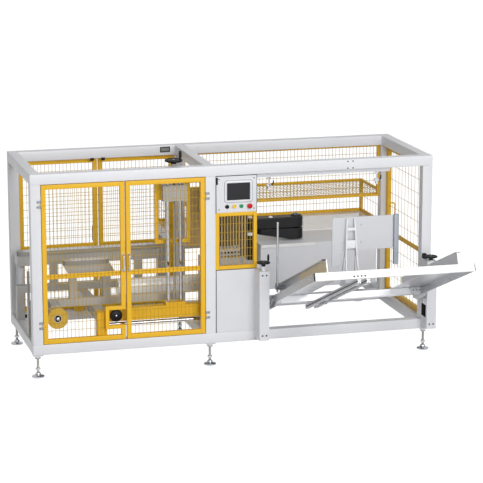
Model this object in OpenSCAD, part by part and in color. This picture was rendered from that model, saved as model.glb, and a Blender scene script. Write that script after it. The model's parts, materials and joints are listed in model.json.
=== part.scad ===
// Case erector: guarded tube frame with a tilted blank magazine, a blank-pulling
// arm, a taping bed and a rear bay. Millimetres, +X along the line towards the
// magazine, +Y to the back, +Z up. Machine coordinates run from the frame's left
// front corner at floor level; the finished part is moved so that the middle of
// the front left foot's underside is the origin.

/* [Main frame] */
// Length of the tube frame along the line
frame_l = 3200; // [2900:10:3600]
// Depth of the tube frame
frame_w = 1080; // [1000:10:1300]
// Height of the tube frame without its feet
frame_h = 1400; // [1350:10:1600]
// Side of the square frame tube
tube = 80; // [70:1:90]
// Left face of the middle posts
mid_x = 1356; // [1300:1:1450]

/* [Feet] */
// Height of a levelling foot, floor to frame
foot_h = 180; // [140:1:240]
// Diameter of the foot pad
pad_d = 100; // [70:1:120]
// Diameter of the threaded stem
stem_d = 20; // [14:1:30]
// Side of the plate that takes the stem
foot_plate = 76; // [50:1:90]

/* [Guard panels] */
// Width and depth of a guard's frame bar
bar = 35; // [25:1:45]
// Gap between a door and its post or rail
door_gap = 4; // [2:0.5:8]
// Gap between the two doors of a pair
meeting_gap = 10; // [4:1:16]
// Line where the doors of a pair meet
door_split_x = 727; // [680:1:760]
// Bottom of the middle rail of each guard
mid_rail_z = 762; // [700:1:820]
// Height of the middle rail
mid_rail_h = 38; // [25:1:60]
// Spacing of the upright wires
wire_pitch_x = 60; // [45:1:90]
// Spacing of the level wires
wire_pitch_z = 60; // [45:1:90]
// Thickness of a wire
wire_d = 4; // [2:0.5:5]
// Distance of a hinge axis in front of the door's face
hinge_out = 7; // [5:0.5:12]
// Length of a hinge
hinge_h = 60; // [40:1:90]
// Height of the lower hinges above the door's lower edge
hinge_inset = 146; // [100:1:220]

/* [Handwheel notch] */
// Width of the notch's opening
notch_w = 130; // [115:1:170]
// Height of the notch's opening
notch_h = 122; // [110:1:160]
// Bottom of the notch's opening
notch_z = 377; // [340:1:420]
// Width of the bars round the notch
notch_bar = 28; // [20:1:35]

/* [Control section] */
// Width of the control section's fronts
control_w = 330; // [300:1:380]
// Depth of the control box
control_d = 180; // [120:1:260]
// Bottom of the control box
control_z = 1210; // [1150:1:1260]
// Depth of the lower cabinet
cabinet_d = 575; // [560:1:590]
// Width of the operator screen's bezel
screen_w = 218; // [180:1:240]
// Height of the operator screen's bezel
screen_h = 168; // [140:1:180]
// Diameter of a push button's collar
button_d = 31; // [24:1:36]

/* [Rear bay] */
// Depth of the bay behind the frame
bay_d = 660; // [500:10:800]
// Height of the bay's deck
deck_z = 800; // [760:5:850]
// Height of the bay's mesh walls above the deck
cage_h = 248; // [230:1:320]
// Depth of the arm's table in front of the bay
table_d = 400; // [320:10:440]
// Underside of the arm's table
table_z = 430; // [380:5:520]

/* [Magazine] */
// Slope of the tray
tray_tilt = 21.5; // [15:0.5:28]
// Length of the tray beyond its pivot beam
tray_l = 1215; // [1000:5:1300]
// Height of the pivot beam's middle
pivot_z = 510; // [480:1:540]
// Distance of the pivot beam in front of the frame
pivot_out = 72; // [60:1:90]
// Width of a magazine column
column_w = 80; // [70:1:90]
// Depth of a magazine column
column_d = 145; // [130:1:160]
// Top of a magazine column
column_z = 760; // [720:1:800]
// Width of the pusher's plate
pusher_w = 475; // [400:1:600]
// Height of the pusher's plate
pusher_h = 250; // [200:1:320]

/* [Taping bed] */
// Diameter of the tape reel
reel_d = 162; // [130:1:180]
// Width of the tape reel
reel_w = 52; // [40:1:60]
// Bottom of the bed's cross tubes
bed_z = 400; // [360:5:430]
// Height of the side belts' underside
belt_z = 700; // [660:5:740]

/* [Mast] */
// Distance between the mast's guide rods
rod_gap = 100; // [90:1:120]
// Diameter of a guide rod
rod_d = 30; // [20:1:36]
// Top of the mast's guide rods
mast_z = 1450; // [1400:5:1480]
// Diameter of the mast's handwheel
mast_wheel_d = 140; // [110:1:160]

/* [Hidden] */
$fn = 48;

// Shared clearances
seat = 0.3;
overlap = wire_d / 2;

// Frame levels and lines
z_low = foot_h;
z_floor = foot_h + tube;
z_roof = foot_h + frame_h;
z_eave = z_roof - tube;
back_y = frame_w - tube;
right_x = frame_l - tube;
post_x = [0, mid_x, right_x];
bay_y = frame_w + bay_d;
foot_inset = tube / 2;

// Guard doors
door_z = [z_floor + door_gap, z_eave - door_gap];
left_door_x = [tube + door_gap, door_split_x - meeting_gap / 2];
right_door_x = [door_split_x + meeting_gap / 2, mid_x - door_gap];
end_door_y = [tube + door_gap, back_y - door_gap];
mid_rail = [mid_rail_z, mid_rail_z + mid_rail_h];
hinge_z = [door_z[0] + hinge_inset, door_z[1] - hinge_inset];
knuckle_d = 2 * (hinge_out - 2);
handle_z = mid_rail[1] + 1;
handle_l = 135;
handle_d = 12;
handle_out = 40;
end_handle_z = mid_rail[1] + 100;
end_handle_l = 110;

// Control section
control_x = [mid_x + tube, mid_x + tube + control_w];
window_z = [mid_rail_z, control_z];
screen_mid = [mid_x + 260, 1374];
button_z = 1258;
button_x = [mid_x + 169, mid_x + 227, mid_x + 283, mid_x + 348];

// Rear bay
deck_t = 6;
cage_gap = 1;
cage_z = [deck_z, deck_z + cage_h];
table_y = [back_y - table_d, back_y];
table_x = [control_x[1] + 4, frame_l - 250];

// Arm
arm_base = [1925, frame_w - 310];
ledge_x = arm_base[0] + 40;
ledge_z = table_z + 220;
arm_reach = 385;
forearm_l = 330;
arm_t = 88;
arm_gap = 8;
arm_w = 112;
forearm_z = deck_z + 10;
upper_arm_z = forearm_z + arm_t + arm_gap;
pedestal_d = 64;
shoulder_d = 120;
elbow_pin_d = 40;

// Taping bed
bed_x = 505;
bed_tube = 80;
bed_top = bed_z + bed_tube;
bed_inset = bar + 7;
bed_post_y = [bed_inset, frame_w - bed_inset - bed_tube];
leg_x = [10, 70];
near_rail_y = 260;
far_rail_y = frame_w - 290;
bed_rail = 60;
far_unit_x = [20, 1170];
near_unit_x = [290, 700];
unit_w = 70;
unit_h = 80;
near_unit_z = belt_z + 30;
belt_t = 6;

// Lift beam and mast
beam_y = [tube + 20, tube + 20 + bed_tube];
beam_z = [bed_top - 100, bed_top];
beam_x = [bed_x + bed_tube, control_x[0]];
mast_x = mid_x - 216;
mast_y = (beam_y[0] + beam_y[1]) / 2;
mast_base_t = 24;
wheel_x = left_door_x[1] - notch_w / 2 + 2;
wheel_z = notch_z + notch_h / 2;

// Magazine
column_x = [control_x[1] - 20, frame_l - column_w];
pivot = [0, -pivot_out, pivot_z];
tray_x = [column_x[0] + column_w + 34, column_x[1] - 20];
tray_mid = (tray_x[0] + tray_x[1]) / 2;
strut_x = [tray_mid - 292, tray_mid - 222];
tray_pin_d = 24;
channel_w = 100;
channel_depth = 60;
channel_z = [pivot_z - 210, pivot_z + 190];
slider_z = [pivot_z - 110, pivot_z + 60];
slider_t = 40;
neck_h = [38, 4];
screw_out = pivot_out + 40;

// A box given by its limits on the three axes
module block(x, y, z) {
    translate([x[0], y[0], z[0]])
        cube([x[1] - x[0], y[1] - y[0], z[1] - z[0]]);
}

// Corners of a rectangle, counter-clockwise
function corners(x, z) = [[x[0], z[0]], [x[1], z[0]], [x[1], z[1]], [x[0], z[1]]];

// Wire grid over one opening: a thin sheet with one hole between each four wires
module wire_grid(x, z, pitch_x = wire_pitch_x, pitch_z = wire_pitch_z) {
    nx = max(2, round((x[1] - x[0]) / pitch_x));
    nz = max(2, round((z[1] - z[0]) / pitch_z));
    dx = (x[1] - x[0]) / nx;
    dz = (z[1] - z[0]) / nz;
    half = wire_d / 2;
    cells = [for (i = [0 : nx - 1], j = [0 : nz - 1])
        corners([x[0] + i * dx + half, x[0] + (i + 1) * dx - half],
                [z[0] + j * dz + half, z[0] + (j + 1) * dz - half])];
    edge = corners([x[0] - overlap, x[1] + overlap], [z[0] - overlap, z[1] + overlap]);
    rings = concat([edge], cells);
    polygon(points = [for (ring = rings) each ring],
            paths = [for (k = [0 : len(rings) - 1]) [for (m = [0 : 3]) 4 * k + m]]);
}

// Upright sheet in the XZ plane, from y0 to y0 + t
module upright(y0, t) {
    translate([0, y0 + t, 0]) rotate([90, 0, 0]) linear_extrude(t) children();
}

// Upright sheet in the YZ plane, drawn as (y, z), from x0 to x0 + t
module sideways(x0, t) {
    translate([x0, 0, 0]) rotate([90, 0, 90]) linear_extrude(t) children();
}

// Opening of a guard between its bars, and the parts below and above the rail's middle line
rail_line = (mid_rail[0] + mid_rail[1]) / 2;
function guard_inner(x) = [x[0] + bar, x[1] - bar];
function lower_span(z) = [z[0] + bar, rail_line];
function upper_span(z) = [rail_line, z[1] - bar];

// Guard frame outline with one opening
module guard_ring(x, z) {
    difference() {
        polygon(corners(x, z));
        polygon(corners(guard_inner(x), guard_inner(z)));
    }
}

// Both wire grids of a guard, which share the wire on the rail's middle line
module guard_wires(x, z) {
    wire_grid(guard_inner(x), lower_span(z));
    wire_grid(guard_inner(x), upper_span(z));
}

// Depths of the wires and of the middle rail behind them, from the guard's outer face
wire_depth = bar / 2;
rail_depth = wire_depth + wire_d;
rail_t = bar - rail_depth;

// Whole part moved from machine coordinates to the foot's origin
module place() {
    translate([-foot_inset, -foot_inset, 0]) children();
}

// Main frame
module posts() {
    color("gainsboro") place() {
        for (x = post_x, y = [0, back_y])
            block([x, x + tube], [y, y + tube], [z_floor, z_eave]);
        for (x = [mid_x, right_x])
            block([x, x + tube], [bay_y - tube, bay_y], [z_low, deck_z - deck_t]);
    }
}

module long_rails(z) {
    for (y = [0, back_y])
        block([0, frame_l], [y, y + tube], [z, z + tube]);
}

module cross_rails(z) {
    for (x = post_x)
        block([x, x + tube], [tube, back_y], [z, z + tube]);
}

module top_long_rails() {
    color("gainsboro") place() long_rails(z_eave);
}

module top_cross_rails() {
    color("gainsboro") place() cross_rails(z_eave);
}

module bottom_long_rails() {
    color("gainsboro") place() long_rails(z_low);
}

module bottom_cross_rails() {
    color("gainsboro") place() cross_rails(z_low);
}

// Levelling foot: domed pad, threaded stem, two hexagon nuts and a top plate
module foot() {
    pad_t = 12;
    nut_w = stem_d * 1.9;
    nut_t = stem_d * 0.8;
    plate_t = 10;
    rotate_extrude() polygon([
        [0, 0], [pad_d / 2, 0], [pad_d / 2, pad_t], [pad_d / 4, pad_t * 1.6],
        [stem_d * 0.8, pad_t * 1.8], [stem_d * 0.8, pad_t * 2.6],
        [stem_d / 2, pad_t * 3], [stem_d / 2, foot_h - plate_t], [0, foot_h - plate_t]]);
    translate([0, 0, pad_t * 3 + stem_d]) cylinder(d = nut_w, h = nut_t, $fn = 6);
    translate([0, 0, foot_h - plate_t - nut_t]) cylinder(d = nut_w, h = nut_t, $fn = 6);
    translate([-foot_plate / 2, -foot_plate / 2, foot_h - plate_t])
        cube([foot_plate, foot_plate, plate_t]);
}

module leveling_feet() {
    color("silver") place() {
        for (x = post_x)
            translate([x + foot_inset, foot_inset, 0]) foot();
        for (x = [0, mid_x])
            translate([x + foot_inset, frame_w - foot_inset, 0]) foot();
        for (x = [mid_x, right_x])
            translate([x + foot_inset, bay_y - foot_inset, 0]) foot();
    }
}

// Hinge: outer knuckles on the post, the middle one on the door, round one axis
leaf_w = 32;
leaf_t = 4;
front_leaf = [-leaf_t, 0];
back_leaf = [frame_w, frame_w + leaf_t];
end_leaf = [frame_l, frame_l + leaf_t];
knuckle_l = hinge_h / 3;
function post_knuckles(z) = [[z - hinge_h / 2, z - knuckle_l / 2 - seat],
                             [z + knuckle_l / 2 + seat, z + hinge_h / 2]];
function door_knuckles(z) = [[z - knuckle_l / 2, z + knuckle_l / 2]];

// Knuckles of one side of a hinge, each with its leaf
module knuckles(axis_xy, leaf_x, leaf_y, spans) {
    for (span = spans) {
        translate([axis_xy[0], axis_xy[1], span[0]])
            cylinder(d = knuckle_d, h = span[1] - span[0]);
        block(leaf_x, leaf_y, span);
    }
}

// The leaves on the posts
module door_hinges() {
    left = [tube - leaf_w, tube];
    right = [mid_x, mid_x + leaf_w];
    color("silver") place() for (z = hinge_z) {
        knuckles([tube, -hinge_out], left, front_leaf, post_knuckles(z));
        knuckles([mid_x, -hinge_out], right, front_leaf, post_knuckles(z));
        knuckles([tube, frame_w + hinge_out], left, back_leaf, post_knuckles(z));
        knuckles([mid_x, frame_w + hinge_out], right, back_leaf, post_knuckles(z));
        knuckles([frame_l + hinge_out, tube], end_leaf, left, post_knuckles(z));
    }
}

// The leaves on a door hung from its left or its right post
module left_leaves(y, leaf_y) {
    for (z = hinge_z)
        knuckles([tube, y], [tube, tube + leaf_w], leaf_y, door_knuckles(z));
}

module right_leaves(y, leaf_y) {
    for (z = hinge_z)
        knuckles([mid_x, y], [mid_x - leaf_w, mid_x], leaf_y, door_knuckles(z));
}

// Sensor rail under the front top rail, with two hanging sensor arms
module sensor_rail() {
    rail_x = [control_x[1] + 4, right_x - 250];
    rail_y = [tube - 14, tube];
    rail_h = 40;
    arm_d = 12;
    arm_l = 72;
    eye_d = 22;
    eye_l = 26;
    color("silver") place() {
        block(rail_x, rail_y, [z_eave - rail_h, z_eave]);
        for (x = [rail_x[0] + 110, rail_x[1] - 110])
            translate([x, rail_y[0] + arm_d / 2, z_eave - rail_h - arm_l]) {
                cylinder(d = arm_d, h = arm_l);
                translate([0, 0, -eye_l]) cylinder(d = eye_d, h = eye_l);
            }
    }
}

// Front left door: a guard with a notch of its own in the lower right corner
module front_left_door() {
    notch_x = [left_door_x[1] - notch_w - notch_bar, left_door_x[1]];
    notch_outer = [notch_z - notch_bar, notch_z + notch_h + notch_bar];
    inner = guard_inner(left_door_x);
    low = lower_span(door_z)[0];
    color("goldenrod") place() {
        difference() {
            upright(0, bar) {
                guard_ring(left_door_x, door_z);
                polygon(corners(notch_x, notch_outer));
            }
            upright(-overlap, bar + 2 * overlap)
                polygon(corners([notch_x[0] + notch_bar, left_door_x[1] + overlap],
                                [notch_z, notch_z + notch_h]));
        }
        upright(rail_depth, rail_t) polygon(corners(inner, mid_rail));
        upright(wire_depth, wire_d) wire_grid(inner, upper_span(door_z));
        upright(wire_depth, wire_d) wire_grid(inner, [notch_outer[1], rail_line]);
        upright(wire_depth, wire_d) wire_grid([inner[0], notch_x[0]], [low, notch_outer[1]]);
        upright(wire_depth, wire_d) wire_grid([notch_x[0], inner[1]], [low, notch_outer[0]]);
        left_leaves(-hinge_out, front_leaf);
    }
}

module front_right_door() {
    color("goldenrod") place() {
        upright(0, bar) guard_ring(right_door_x, door_z);
        upright(rail_depth, rail_t) polygon(corners(guard_inner(right_door_x), mid_rail));
        upright(wire_depth, wire_d) guard_wires(right_door_x, door_z);
        right_leaves(-hinge_out, front_leaf);
    }
}

// Bow handle of round bar: a grip on two standoffs, standing out along -Y from its foot
module bow_handle(l) {
    translate([0, -handle_out, 0]) cylinder(d = handle_d, h = l);
    for (z = [handle_d, l - handle_d])
        translate([0, 0, z]) rotate([90, 0, 0]) cylinder(d = handle_d, h = handle_out);
}

module front_left_handle() {
    color("silver") place()
        translate([left_door_x[1] - bar / 2, 0, handle_z]) bow_handle(handle_l);
}

module front_right_handle() {
    color("silver") place()
        translate([right_door_x[0] + bar / 2, 0, handle_z]) bow_handle(handle_l);
}

// Back doors: the same guards in the back face, their handles near the meeting edge
module back_guard(x) {
    upright(frame_w - bar, bar) guard_ring(x, door_z);
    upright(frame_w - bar, rail_t) polygon(corners(guard_inner(x), mid_rail));
    upright(frame_w - rail_depth, wire_d) guard_wires(x, door_z);
}

module back_left_door() {
    color("goldenrod") place() {
        back_guard(left_door_x);
        left_leaves(frame_w + hinge_out, back_leaf);
    }
}

module back_right_door() {
    color("goldenrod") place() {
        back_guard(right_door_x);
        right_leaves(frame_w + hinge_out, back_leaf);
    }
}

module back_left_handle() {
    color("silver") place() translate([left_door_x[1] - bar + handle_d / 2, frame_w, handle_z])
        rotate([0, 0, 180]) bow_handle(handle_l);
}

module back_right_handle() {
    color("silver") place() translate([right_door_x[0] + bar - handle_d / 2, frame_w, handle_z])
        rotate([0, 0, 180]) bow_handle(handle_l);
}

// End door's frame with a loop handle near the back edge
module end_door() {
    color("goldenrod") place() {
        sideways(frame_l - bar, bar) guard_ring(end_door_y, door_z);
        sideways(frame_l - bar, rail_t) polygon(corners(guard_inner(end_door_y), mid_rail));
        translate([frame_l, end_door_y[1] - bar / 2, end_handle_z])
            rotate([0, 0, 90]) bow_handle(end_handle_l);
        for (z = hinge_z)
            knuckles([frame_l + hinge_out, tube], end_leaf, [tube, tube + leaf_w],
                     door_knuckles(z));
    }
}

// Wire of the end door, laid against its middle rail inside the frame
module end_door_mesh() {
    trim = [overlap + seat, -overlap - seat];
    span = guard_inner(end_door_y) + trim;
    color("goldenrod") place() sideways(frame_l - rail_depth, wire_d) {
        wire_grid(span, lower_span(door_z) + [trim[0], 0]);
        wire_grid(span, upper_span(door_z) + [0, trim[1]]);
    }
}

// Control section
module control_box() {
    color("lightgray") place()
        block(control_x, [0, control_d], [control_z, z_eave]);
}

// Screen: a bevelled bezel with a sunk glass
module operator_screen() {
    bezel_t = 9;
    rim = 16;
    sunk = 3;
    x = screen_mid[0];
    z = screen_mid[1];
    color("dimgray") place() difference() {
        block([x - screen_w / 2, x + screen_w / 2], [-bezel_t, 0],
              [z - screen_h / 2, z + screen_h / 2]);
        block([x - screen_w / 2 + rim, x + screen_w / 2 - rim],
              [-bezel_t - overlap, sunk - bezel_t],
              [z - screen_h / 2 + rim, z + screen_h / 2 - rim]);
    }
}

// Button: a collar on the panel and a raised cap
module button(x, d, cap_d, cap_t) {
    collar_t = 6;
    translate([x, 0, button_z]) rotate([90, 0, 0]) {
        cylinder(d = d, h = collar_t);
        cylinder(d = cap_d, h = collar_t + cap_t);
    }
}

module push_buttons() {
    cap = button_d - 8;
    color("red") place() {
        for (k = [0 : 2]) button(button_x[k], button_d, cap, 6);
        button(button_x[3], button_d, button_d + 9, 20);
    }
}

// Fixed guard window under the control box
module guard_window() {
    ring = 28;
    inner = [[control_x[0] + ring, control_x[1] - ring],
             [window_z[0] + ring, window_z[1] - ring]];
    color("goldenrod") place() {
        upright(0, bar) difference() {
            polygon(corners(control_x, window_z));
            polygon(corners(inner[0], inner[1]));
        }
        upright(wire_depth, wire_d) wire_grid(inner[0], inner[1]);
    }
}

// Dark panel behind the window, with a valve bank in front of it on the cabinet
module valve_panel() {
    panel_y = control_d + 220;
    panel_t = 6;
    bank_x = [control_x[0] + 79, control_x[0] + 244];
    bank_y = [control_d, control_d + 120];
    bank_h = 118;
    fittings = 6;
    fitting_d = 16;
    fitting_h = 24;
    step = (bank_x[1] - bank_x[0]) / fittings;
    color("dimgray") place() {
        block([control_x[0] + 4, control_x[1] + 30], [panel_y, panel_y + panel_t],
              [window_z[0], window_z[1]]);
        block(bank_x, bank_y, [window_z[0], window_z[0] + bank_h]);
        for (k = [0 : fittings - 1])
            translate([bank_x[0] + (k + 0.5) * step, bank_y[0] + fitting_d, window_z[0] + bank_h])
                cylinder(d = fitting_d, h = fitting_h);
    }
}

module lower_cabinet() {
    color("lightgray") place()
        block(control_x, [0, cabinet_d], [z_low + tube, window_z[0]]);
}

// Rear bay
module bay_rails() {
    top = [deck_z - deck_t - tube, deck_z - deck_t];
    bottom = [z_low, z_floor];
    color("gainsboro") place() {
        for (x = [mid_x, right_x], z = [bottom, top])
            block([x, x + tube], [frame_w, bay_y - tube], z);
        for (z = [bottom, top])
            block([mid_x + tube, right_x], [bay_y - tube, bay_y], z);
        block([mid_x + tube, right_x], [back_y, frame_w], top);
    }
}

module bay_deck() {
    color("white") place()
        block([mid_x, frame_l], [frame_w, bay_y], [deck_z - deck_t, deck_z]);
}

// Arm's table: closed sheet housing with a lip along its front edge and a low ledge
// on the left, which carries the arm's pedestal
module robot_table() {
    lip_l = 530;
    lip_h = 28;
    lip_t = 12;
    lip_z = deck_z - 68;
    color("silver") place() {
        block([ledge_x, table_x[1]], table_y, [table_z, deck_z]);
        block([table_x[0], ledge_x], table_y, [table_z, ledge_z]);
        block([ledge_x, ledge_x + lip_l], [table_y[0] - lip_t, table_y[0]], [lip_z, lip_z + lip_h]);
    }
}

// Cage wall outline: two uprights and a foot bar, open at the top where the roof lies on it
module cage_frame(span) {
    difference() {
        polygon(corners(span, cage_z));
        polygon(corners(guard_inner(span), [cage_z[0] + bar, cage_z[1] + overlap]));
    }
}

module cage_wire(span) {
    wire_grid(guard_inner(span), [cage_z[0] + bar, cage_z[1] - overlap]);
}

module cage_wall_x(x, y) {
    upright(y, bar) cage_frame(x);
    upright(y + bar - rail_depth, wire_d) cage_wire(x);
}

module cage_wall_y(x, y) {
    sideways(x, bar) cage_frame(y);
    sideways(x + wire_depth, wire_d) cage_wire(y);
}

// Fixed guard in the frame's back face between the cage's roof and the top rail
module upper_guard() {
    x = [control_x[0], right_x];
    z = [cage_z[1], z_eave];
    inner = guard_inner(x);
    lengths = 2;
    step = (inner[1] - inner[0]) / lengths;
    upright(frame_w - bar, bar) guard_ring(x, z);
    for (k = [0 : lengths - 1])
        upright(frame_w - rail_depth, wire_d)
            wire_grid([inner[0] + k * step, inner[0] + (k + 1) * step], guard_inner(z));
}

module cage_walls() {
    side_y = [frame_w + cage_gap, bay_y - bar - cage_gap];
    color("goldenrod") place() {
        cage_wall_x([mid_x, frame_l], bay_y - bar);
        cage_wall_y(mid_x, side_y);
        cage_wall_y(frame_l - bar, side_y);
        upper_guard();
    }
}

// Cage roof: a flat guard on top of the walls, its wire welded on in equal lengths
module cage_roof() {
    x = [mid_x, frame_l];
    y = [frame_w + cage_gap, bay_y];
    inner = guard_inner(x);
    lengths = 3;
    step = (inner[1] - inner[0]) / lengths;
    color("goldenrod") place() {
        translate([0, 0, cage_z[1]]) linear_extrude(bar) guard_ring(x, y);
        for (k = [0 : lengths - 1])
            translate([0, 0, cage_z[1] + wire_depth]) linear_extrude(wire_d)
                wire_grid([inner[0] + k * step, inner[0] + (k + 1) * step], guard_inner(y));
    }
}

// Arm: a two-link arm that folds flat, both links turning about upright axes
module robot_pedestal() {
    ring_d = pedestal_d + 10;
    ring_z = forearm_z + 42;
    ring_h = 26;
    color("dimgray") place() translate([arm_base[0], arm_base[1], 0]) {
        translate([0, 0, ledge_z]) cylinder(d = pedestal_d, h = upper_arm_z - ledge_z - seat);
        translate([0, 0, ring_z]) cylinder(d = ring_d, h = ring_h);
    }
}

// Link outline: two round ends with tangent sides, given by end radii and length
module link_outline(r0, r1, reach) {
    hull() {
        circle(r = r0, $fn = 40);
        translate([reach, 0]) circle(r = r1, $fn = 40);
    }
}

module robot_upper_arm() {
    cap_t = 14;
    color("dimgray") place() translate([arm_base[0], arm_base[1], upper_arm_z]) {
        linear_extrude(arm_t) link_outline(shoulder_d / 2, arm_w / 2, arm_reach);
        translate([arm_reach, 0, 0]) cylinder(d = arm_w - 30, h = arm_t + cap_t);
    }
}

// Forearm: rests folded under the upper arm, its underside rising towards the tip
module robot_forearm() {
    tip_t = 40;
    rise_x = -arm_w / 2;
    color("dimgray") place()
        translate([arm_base[0] + arm_reach, arm_base[1], forearm_z]) {
            difference() {
                rotate([0, 0, 180]) linear_extrude(arm_t)
                    link_outline(arm_w / 2, arm_w / 3, forearm_l - arm_w / 3);
                upright(-arm_w, 2 * arm_w) polygon([
                    [rise_x, 0], [-forearm_l, arm_t - tip_t], [-2 * forearm_l, arm_t - tip_t],
                    [-2 * forearm_l, -overlap], [rise_x, -overlap]]);
            }
            cylinder(d = elbow_pin_d, h = arm_t + arm_gap - seat);
        }
}

// Taping bed
module bed_posts() {
    color("goldenrod") place() for (y = bed_post_y)
        block([bed_x, bed_x + bed_tube], [y, y + bed_tube], [z_floor, bed_top]);
}

module bed_cross_tubes() {
    color("silver") place()
        block([bed_x, bed_x + bed_tube], [bed_post_y[0] + bed_tube, bed_post_y[1]],
              [bed_z, bed_top]);
}

// Long rail on the cross tube and a leg, with two uprights that carry a belt unit
module bed_rail_set(y, upright_x, top_z) {
    upright_w = 60;
    span_y = [y, y + bed_rail];
    block([leg_x[0], mid_x - 140], span_y, [bed_top, bed_top + bed_rail]);
    block(leg_x, span_y, [z_floor, bed_top]);
    for (x = upright_x)
        block([x, x + upright_w], span_y, [bed_top + bed_rail, top_z]);
}

// Rails with the end stop that stands on the near one
module bed_rails() {
    stop_w = 20;
    stop_h = 46;
    color("silver") place() {
        bed_rail_set(near_rail_y, near_unit_x + [45, -100], near_unit_z);
        block([leg_x[0], leg_x[0] + stop_w], [near_rail_y + stop_w, near_rail_y + bed_rail - stop_w],
              [bed_top + bed_rail, near_unit_z + stop_h]);
        bed_rail_set(far_rail_y, far_unit_x + [260, -200], belt_z);
    }
}

// Stadium outline of a belt run between two pulley centres
module belt_outline(x, y, w) {
    translate([x[0], y - w / 2]) square([x[1] - x[0], w]);
    for (px = x) translate([px, y]) circle(d = w);
}

belt_w = unit_w + 20;
belt_h = 34;
near_slant = 45;
far_belt_y = far_rail_y + unit_w / 2;
near_belt_y = near_rail_y - 10 + unit_w / 2;
far_pulley_x = far_unit_x + [belt_w / 2, -belt_w / 2];
near_pulley_x = near_unit_x + [belt_w / 2, -belt_w / 2 - near_slant];

// Side belt units: a long one at the back, a short one with slanted ends in front,
// each with the pulley core that its belt runs round
module belt_units() {
    core_w = belt_w - 2 * belt_t - 2 * seat;
    color("lightgray") place() {
        block(far_unit_x, [far_rail_y, far_rail_y + unit_w], [belt_z, belt_z + unit_h]);
        translate([0, 0, belt_z + unit_h]) linear_extrude(belt_h)
            belt_outline(far_pulley_x, far_belt_y, core_w);
        upright(near_rail_y - 10, unit_w) polygon([
            [near_unit_x[0] + near_slant, near_unit_z], [near_unit_x[1], near_unit_z],
            [near_unit_x[1] - near_slant, near_unit_z + unit_h],
            [near_unit_x[0], near_unit_z + unit_h]]);
        translate([0, 0, near_unit_z + unit_h]) linear_extrude(belt_h)
            belt_outline(near_pulley_x, near_belt_y, core_w);
    }
}

// Flat belt loop round the core of a unit, as a band of even thickness
module belt_loop(x, y, z) {
    translate([0, 0, z]) linear_extrude(belt_h) difference() {
        belt_outline(x, y, belt_w);
        belt_outline(x, y, belt_w - 2 * belt_t);
    }
}

module drive_belts() {
    color("darkslategray") place() {
        belt_loop(far_pulley_x, far_belt_y, belt_z + unit_h);
        belt_loop(near_pulley_x, near_belt_y, near_unit_z + unit_h);
    }
}

// Upright gear motor behind the long belt unit's outer end
module belt_motor() {
    gear = [72, 76, 80];
    motor_d = 62;
    motor_h = 190;
    y = far_rail_y + unit_w;
    color("silver") place() {
        block([far_unit_x[0], far_unit_x[0] + gear[0]], [y, y + gear[1]],
              [belt_z, belt_z + gear[2]]);
        translate([far_unit_x[0] + gear[0] / 2, y + gear[1] / 2, belt_z - motor_h])
            cylinder(d = motor_d, h = motor_h);
    }
}

// Round-topped cover of the transfer beam, carried by the cabinet's side
module transfer_cover() {
    cover_l = 676;
    cover_w = 120;
    cover_mid = frame_w / 2 - 40;
    cover_x = [control_x[0] - cover_l, control_x[0]];
    cover_y = [cover_mid - cover_w / 2, cover_mid + cover_w / 2];
    cover_z = [bed_top + 12, bed_top + 140];
    r = (cover_y[1] - cover_y[0]) / 2;
    color("white") place() sideways(cover_x[0], cover_x[1] - cover_x[0]) {
        polygon(corners(cover_y, [cover_z[0], cover_z[1] - r]));
        translate([cover_y[0] + r, cover_z[1] - r]) circle(r = r);
    }
}

// Tape arm: a stub tube out of the near rail, a hanging plate and the reel's axle
reel_x = 202;
reel_z = 447;
reel_y = 46;
axle_d = 24;
module tape_bracket() {
    plate_t = 10;
    plate_y = reel_y + reel_w + 6;
    arm_x = [reel_x - 37, reel_x + 37];
    color("silver") place() {
        block(arm_x, [plate_y + plate_t, near_rail_y], [bed_top, bed_top + bed_rail]);
        block(arm_x, [plate_y, plate_y + plate_t], [reel_z - 40, bed_top + bed_rail]);
        translate([reel_x, plate_y, reel_z]) rotate([90, 0, 0])
            cylinder(d = axle_d, h = reel_w + 12);
    }
}

module tape_reel() {
    color("gold") place() translate([reel_x, reel_y + reel_w, reel_z]) rotate([90, 0, 0])
        difference() {
            cylinder(d = reel_d, h = reel_w, $fn = 64);
            translate([0, 0, -overlap])
                cylinder(d = axle_d + 2 * seat, h = reel_w + 2 * overlap);
        }
}

// Lift beam across the front: a boss for the handwheel and a hanger for the shaft
boss_h = 12;
hanger_t = 12;
shaft_z = beam_z[0] - rod_d;
module lift_beam() {
    boss_d = 40;
    color("goldenrod") place() {
        block(beam_x, beam_y, beam_z);
        block([beam_x[0], beam_x[0] + hanger_t], beam_y, [shaft_z - rod_d, beam_z[0]]);
        translate([wheel_x, beam_y[0], wheel_z]) rotate([90, 0, 0])
            cylinder(d = boss_d, h = boss_h);
    }
}

// Handwheel about +Z: rim, solid web, hub and an optional turning grip
module handwheel(d, hub_h, grip_h) {
    rim_t = d * 0.13;
    hub_d = d * 0.3;
    web_t = d * 0.07;
    rotate_extrude() {
        translate([d / 2 - rim_t / 2, rim_t / 2 + hub_h - rim_t]) circle(d = rim_t);
        translate([0, hub_h - rim_t / 2 - web_t / 2]) square([d / 2 - rim_t / 2, web_t]);
        square([hub_d / 2, hub_h]);
    }
    if (grip_h > 0)
        translate([d / 2 - rim_t, 0, hub_h - rim_t / 2]) {
            cylinder(d = rim_t * 0.8, h = grip_h);
            translate([0, 0, grip_h * 0.25]) cylinder(d = rim_t * 1.25, h = grip_h * 0.75);
        }
}

module beam_handwheel() {
    color("black") place()
        translate([wheel_x, beam_y[0] - boss_h - seat, wheel_z]) rotate([90, 0, 0])
            handwheel(97, 34, 0);
}

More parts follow.
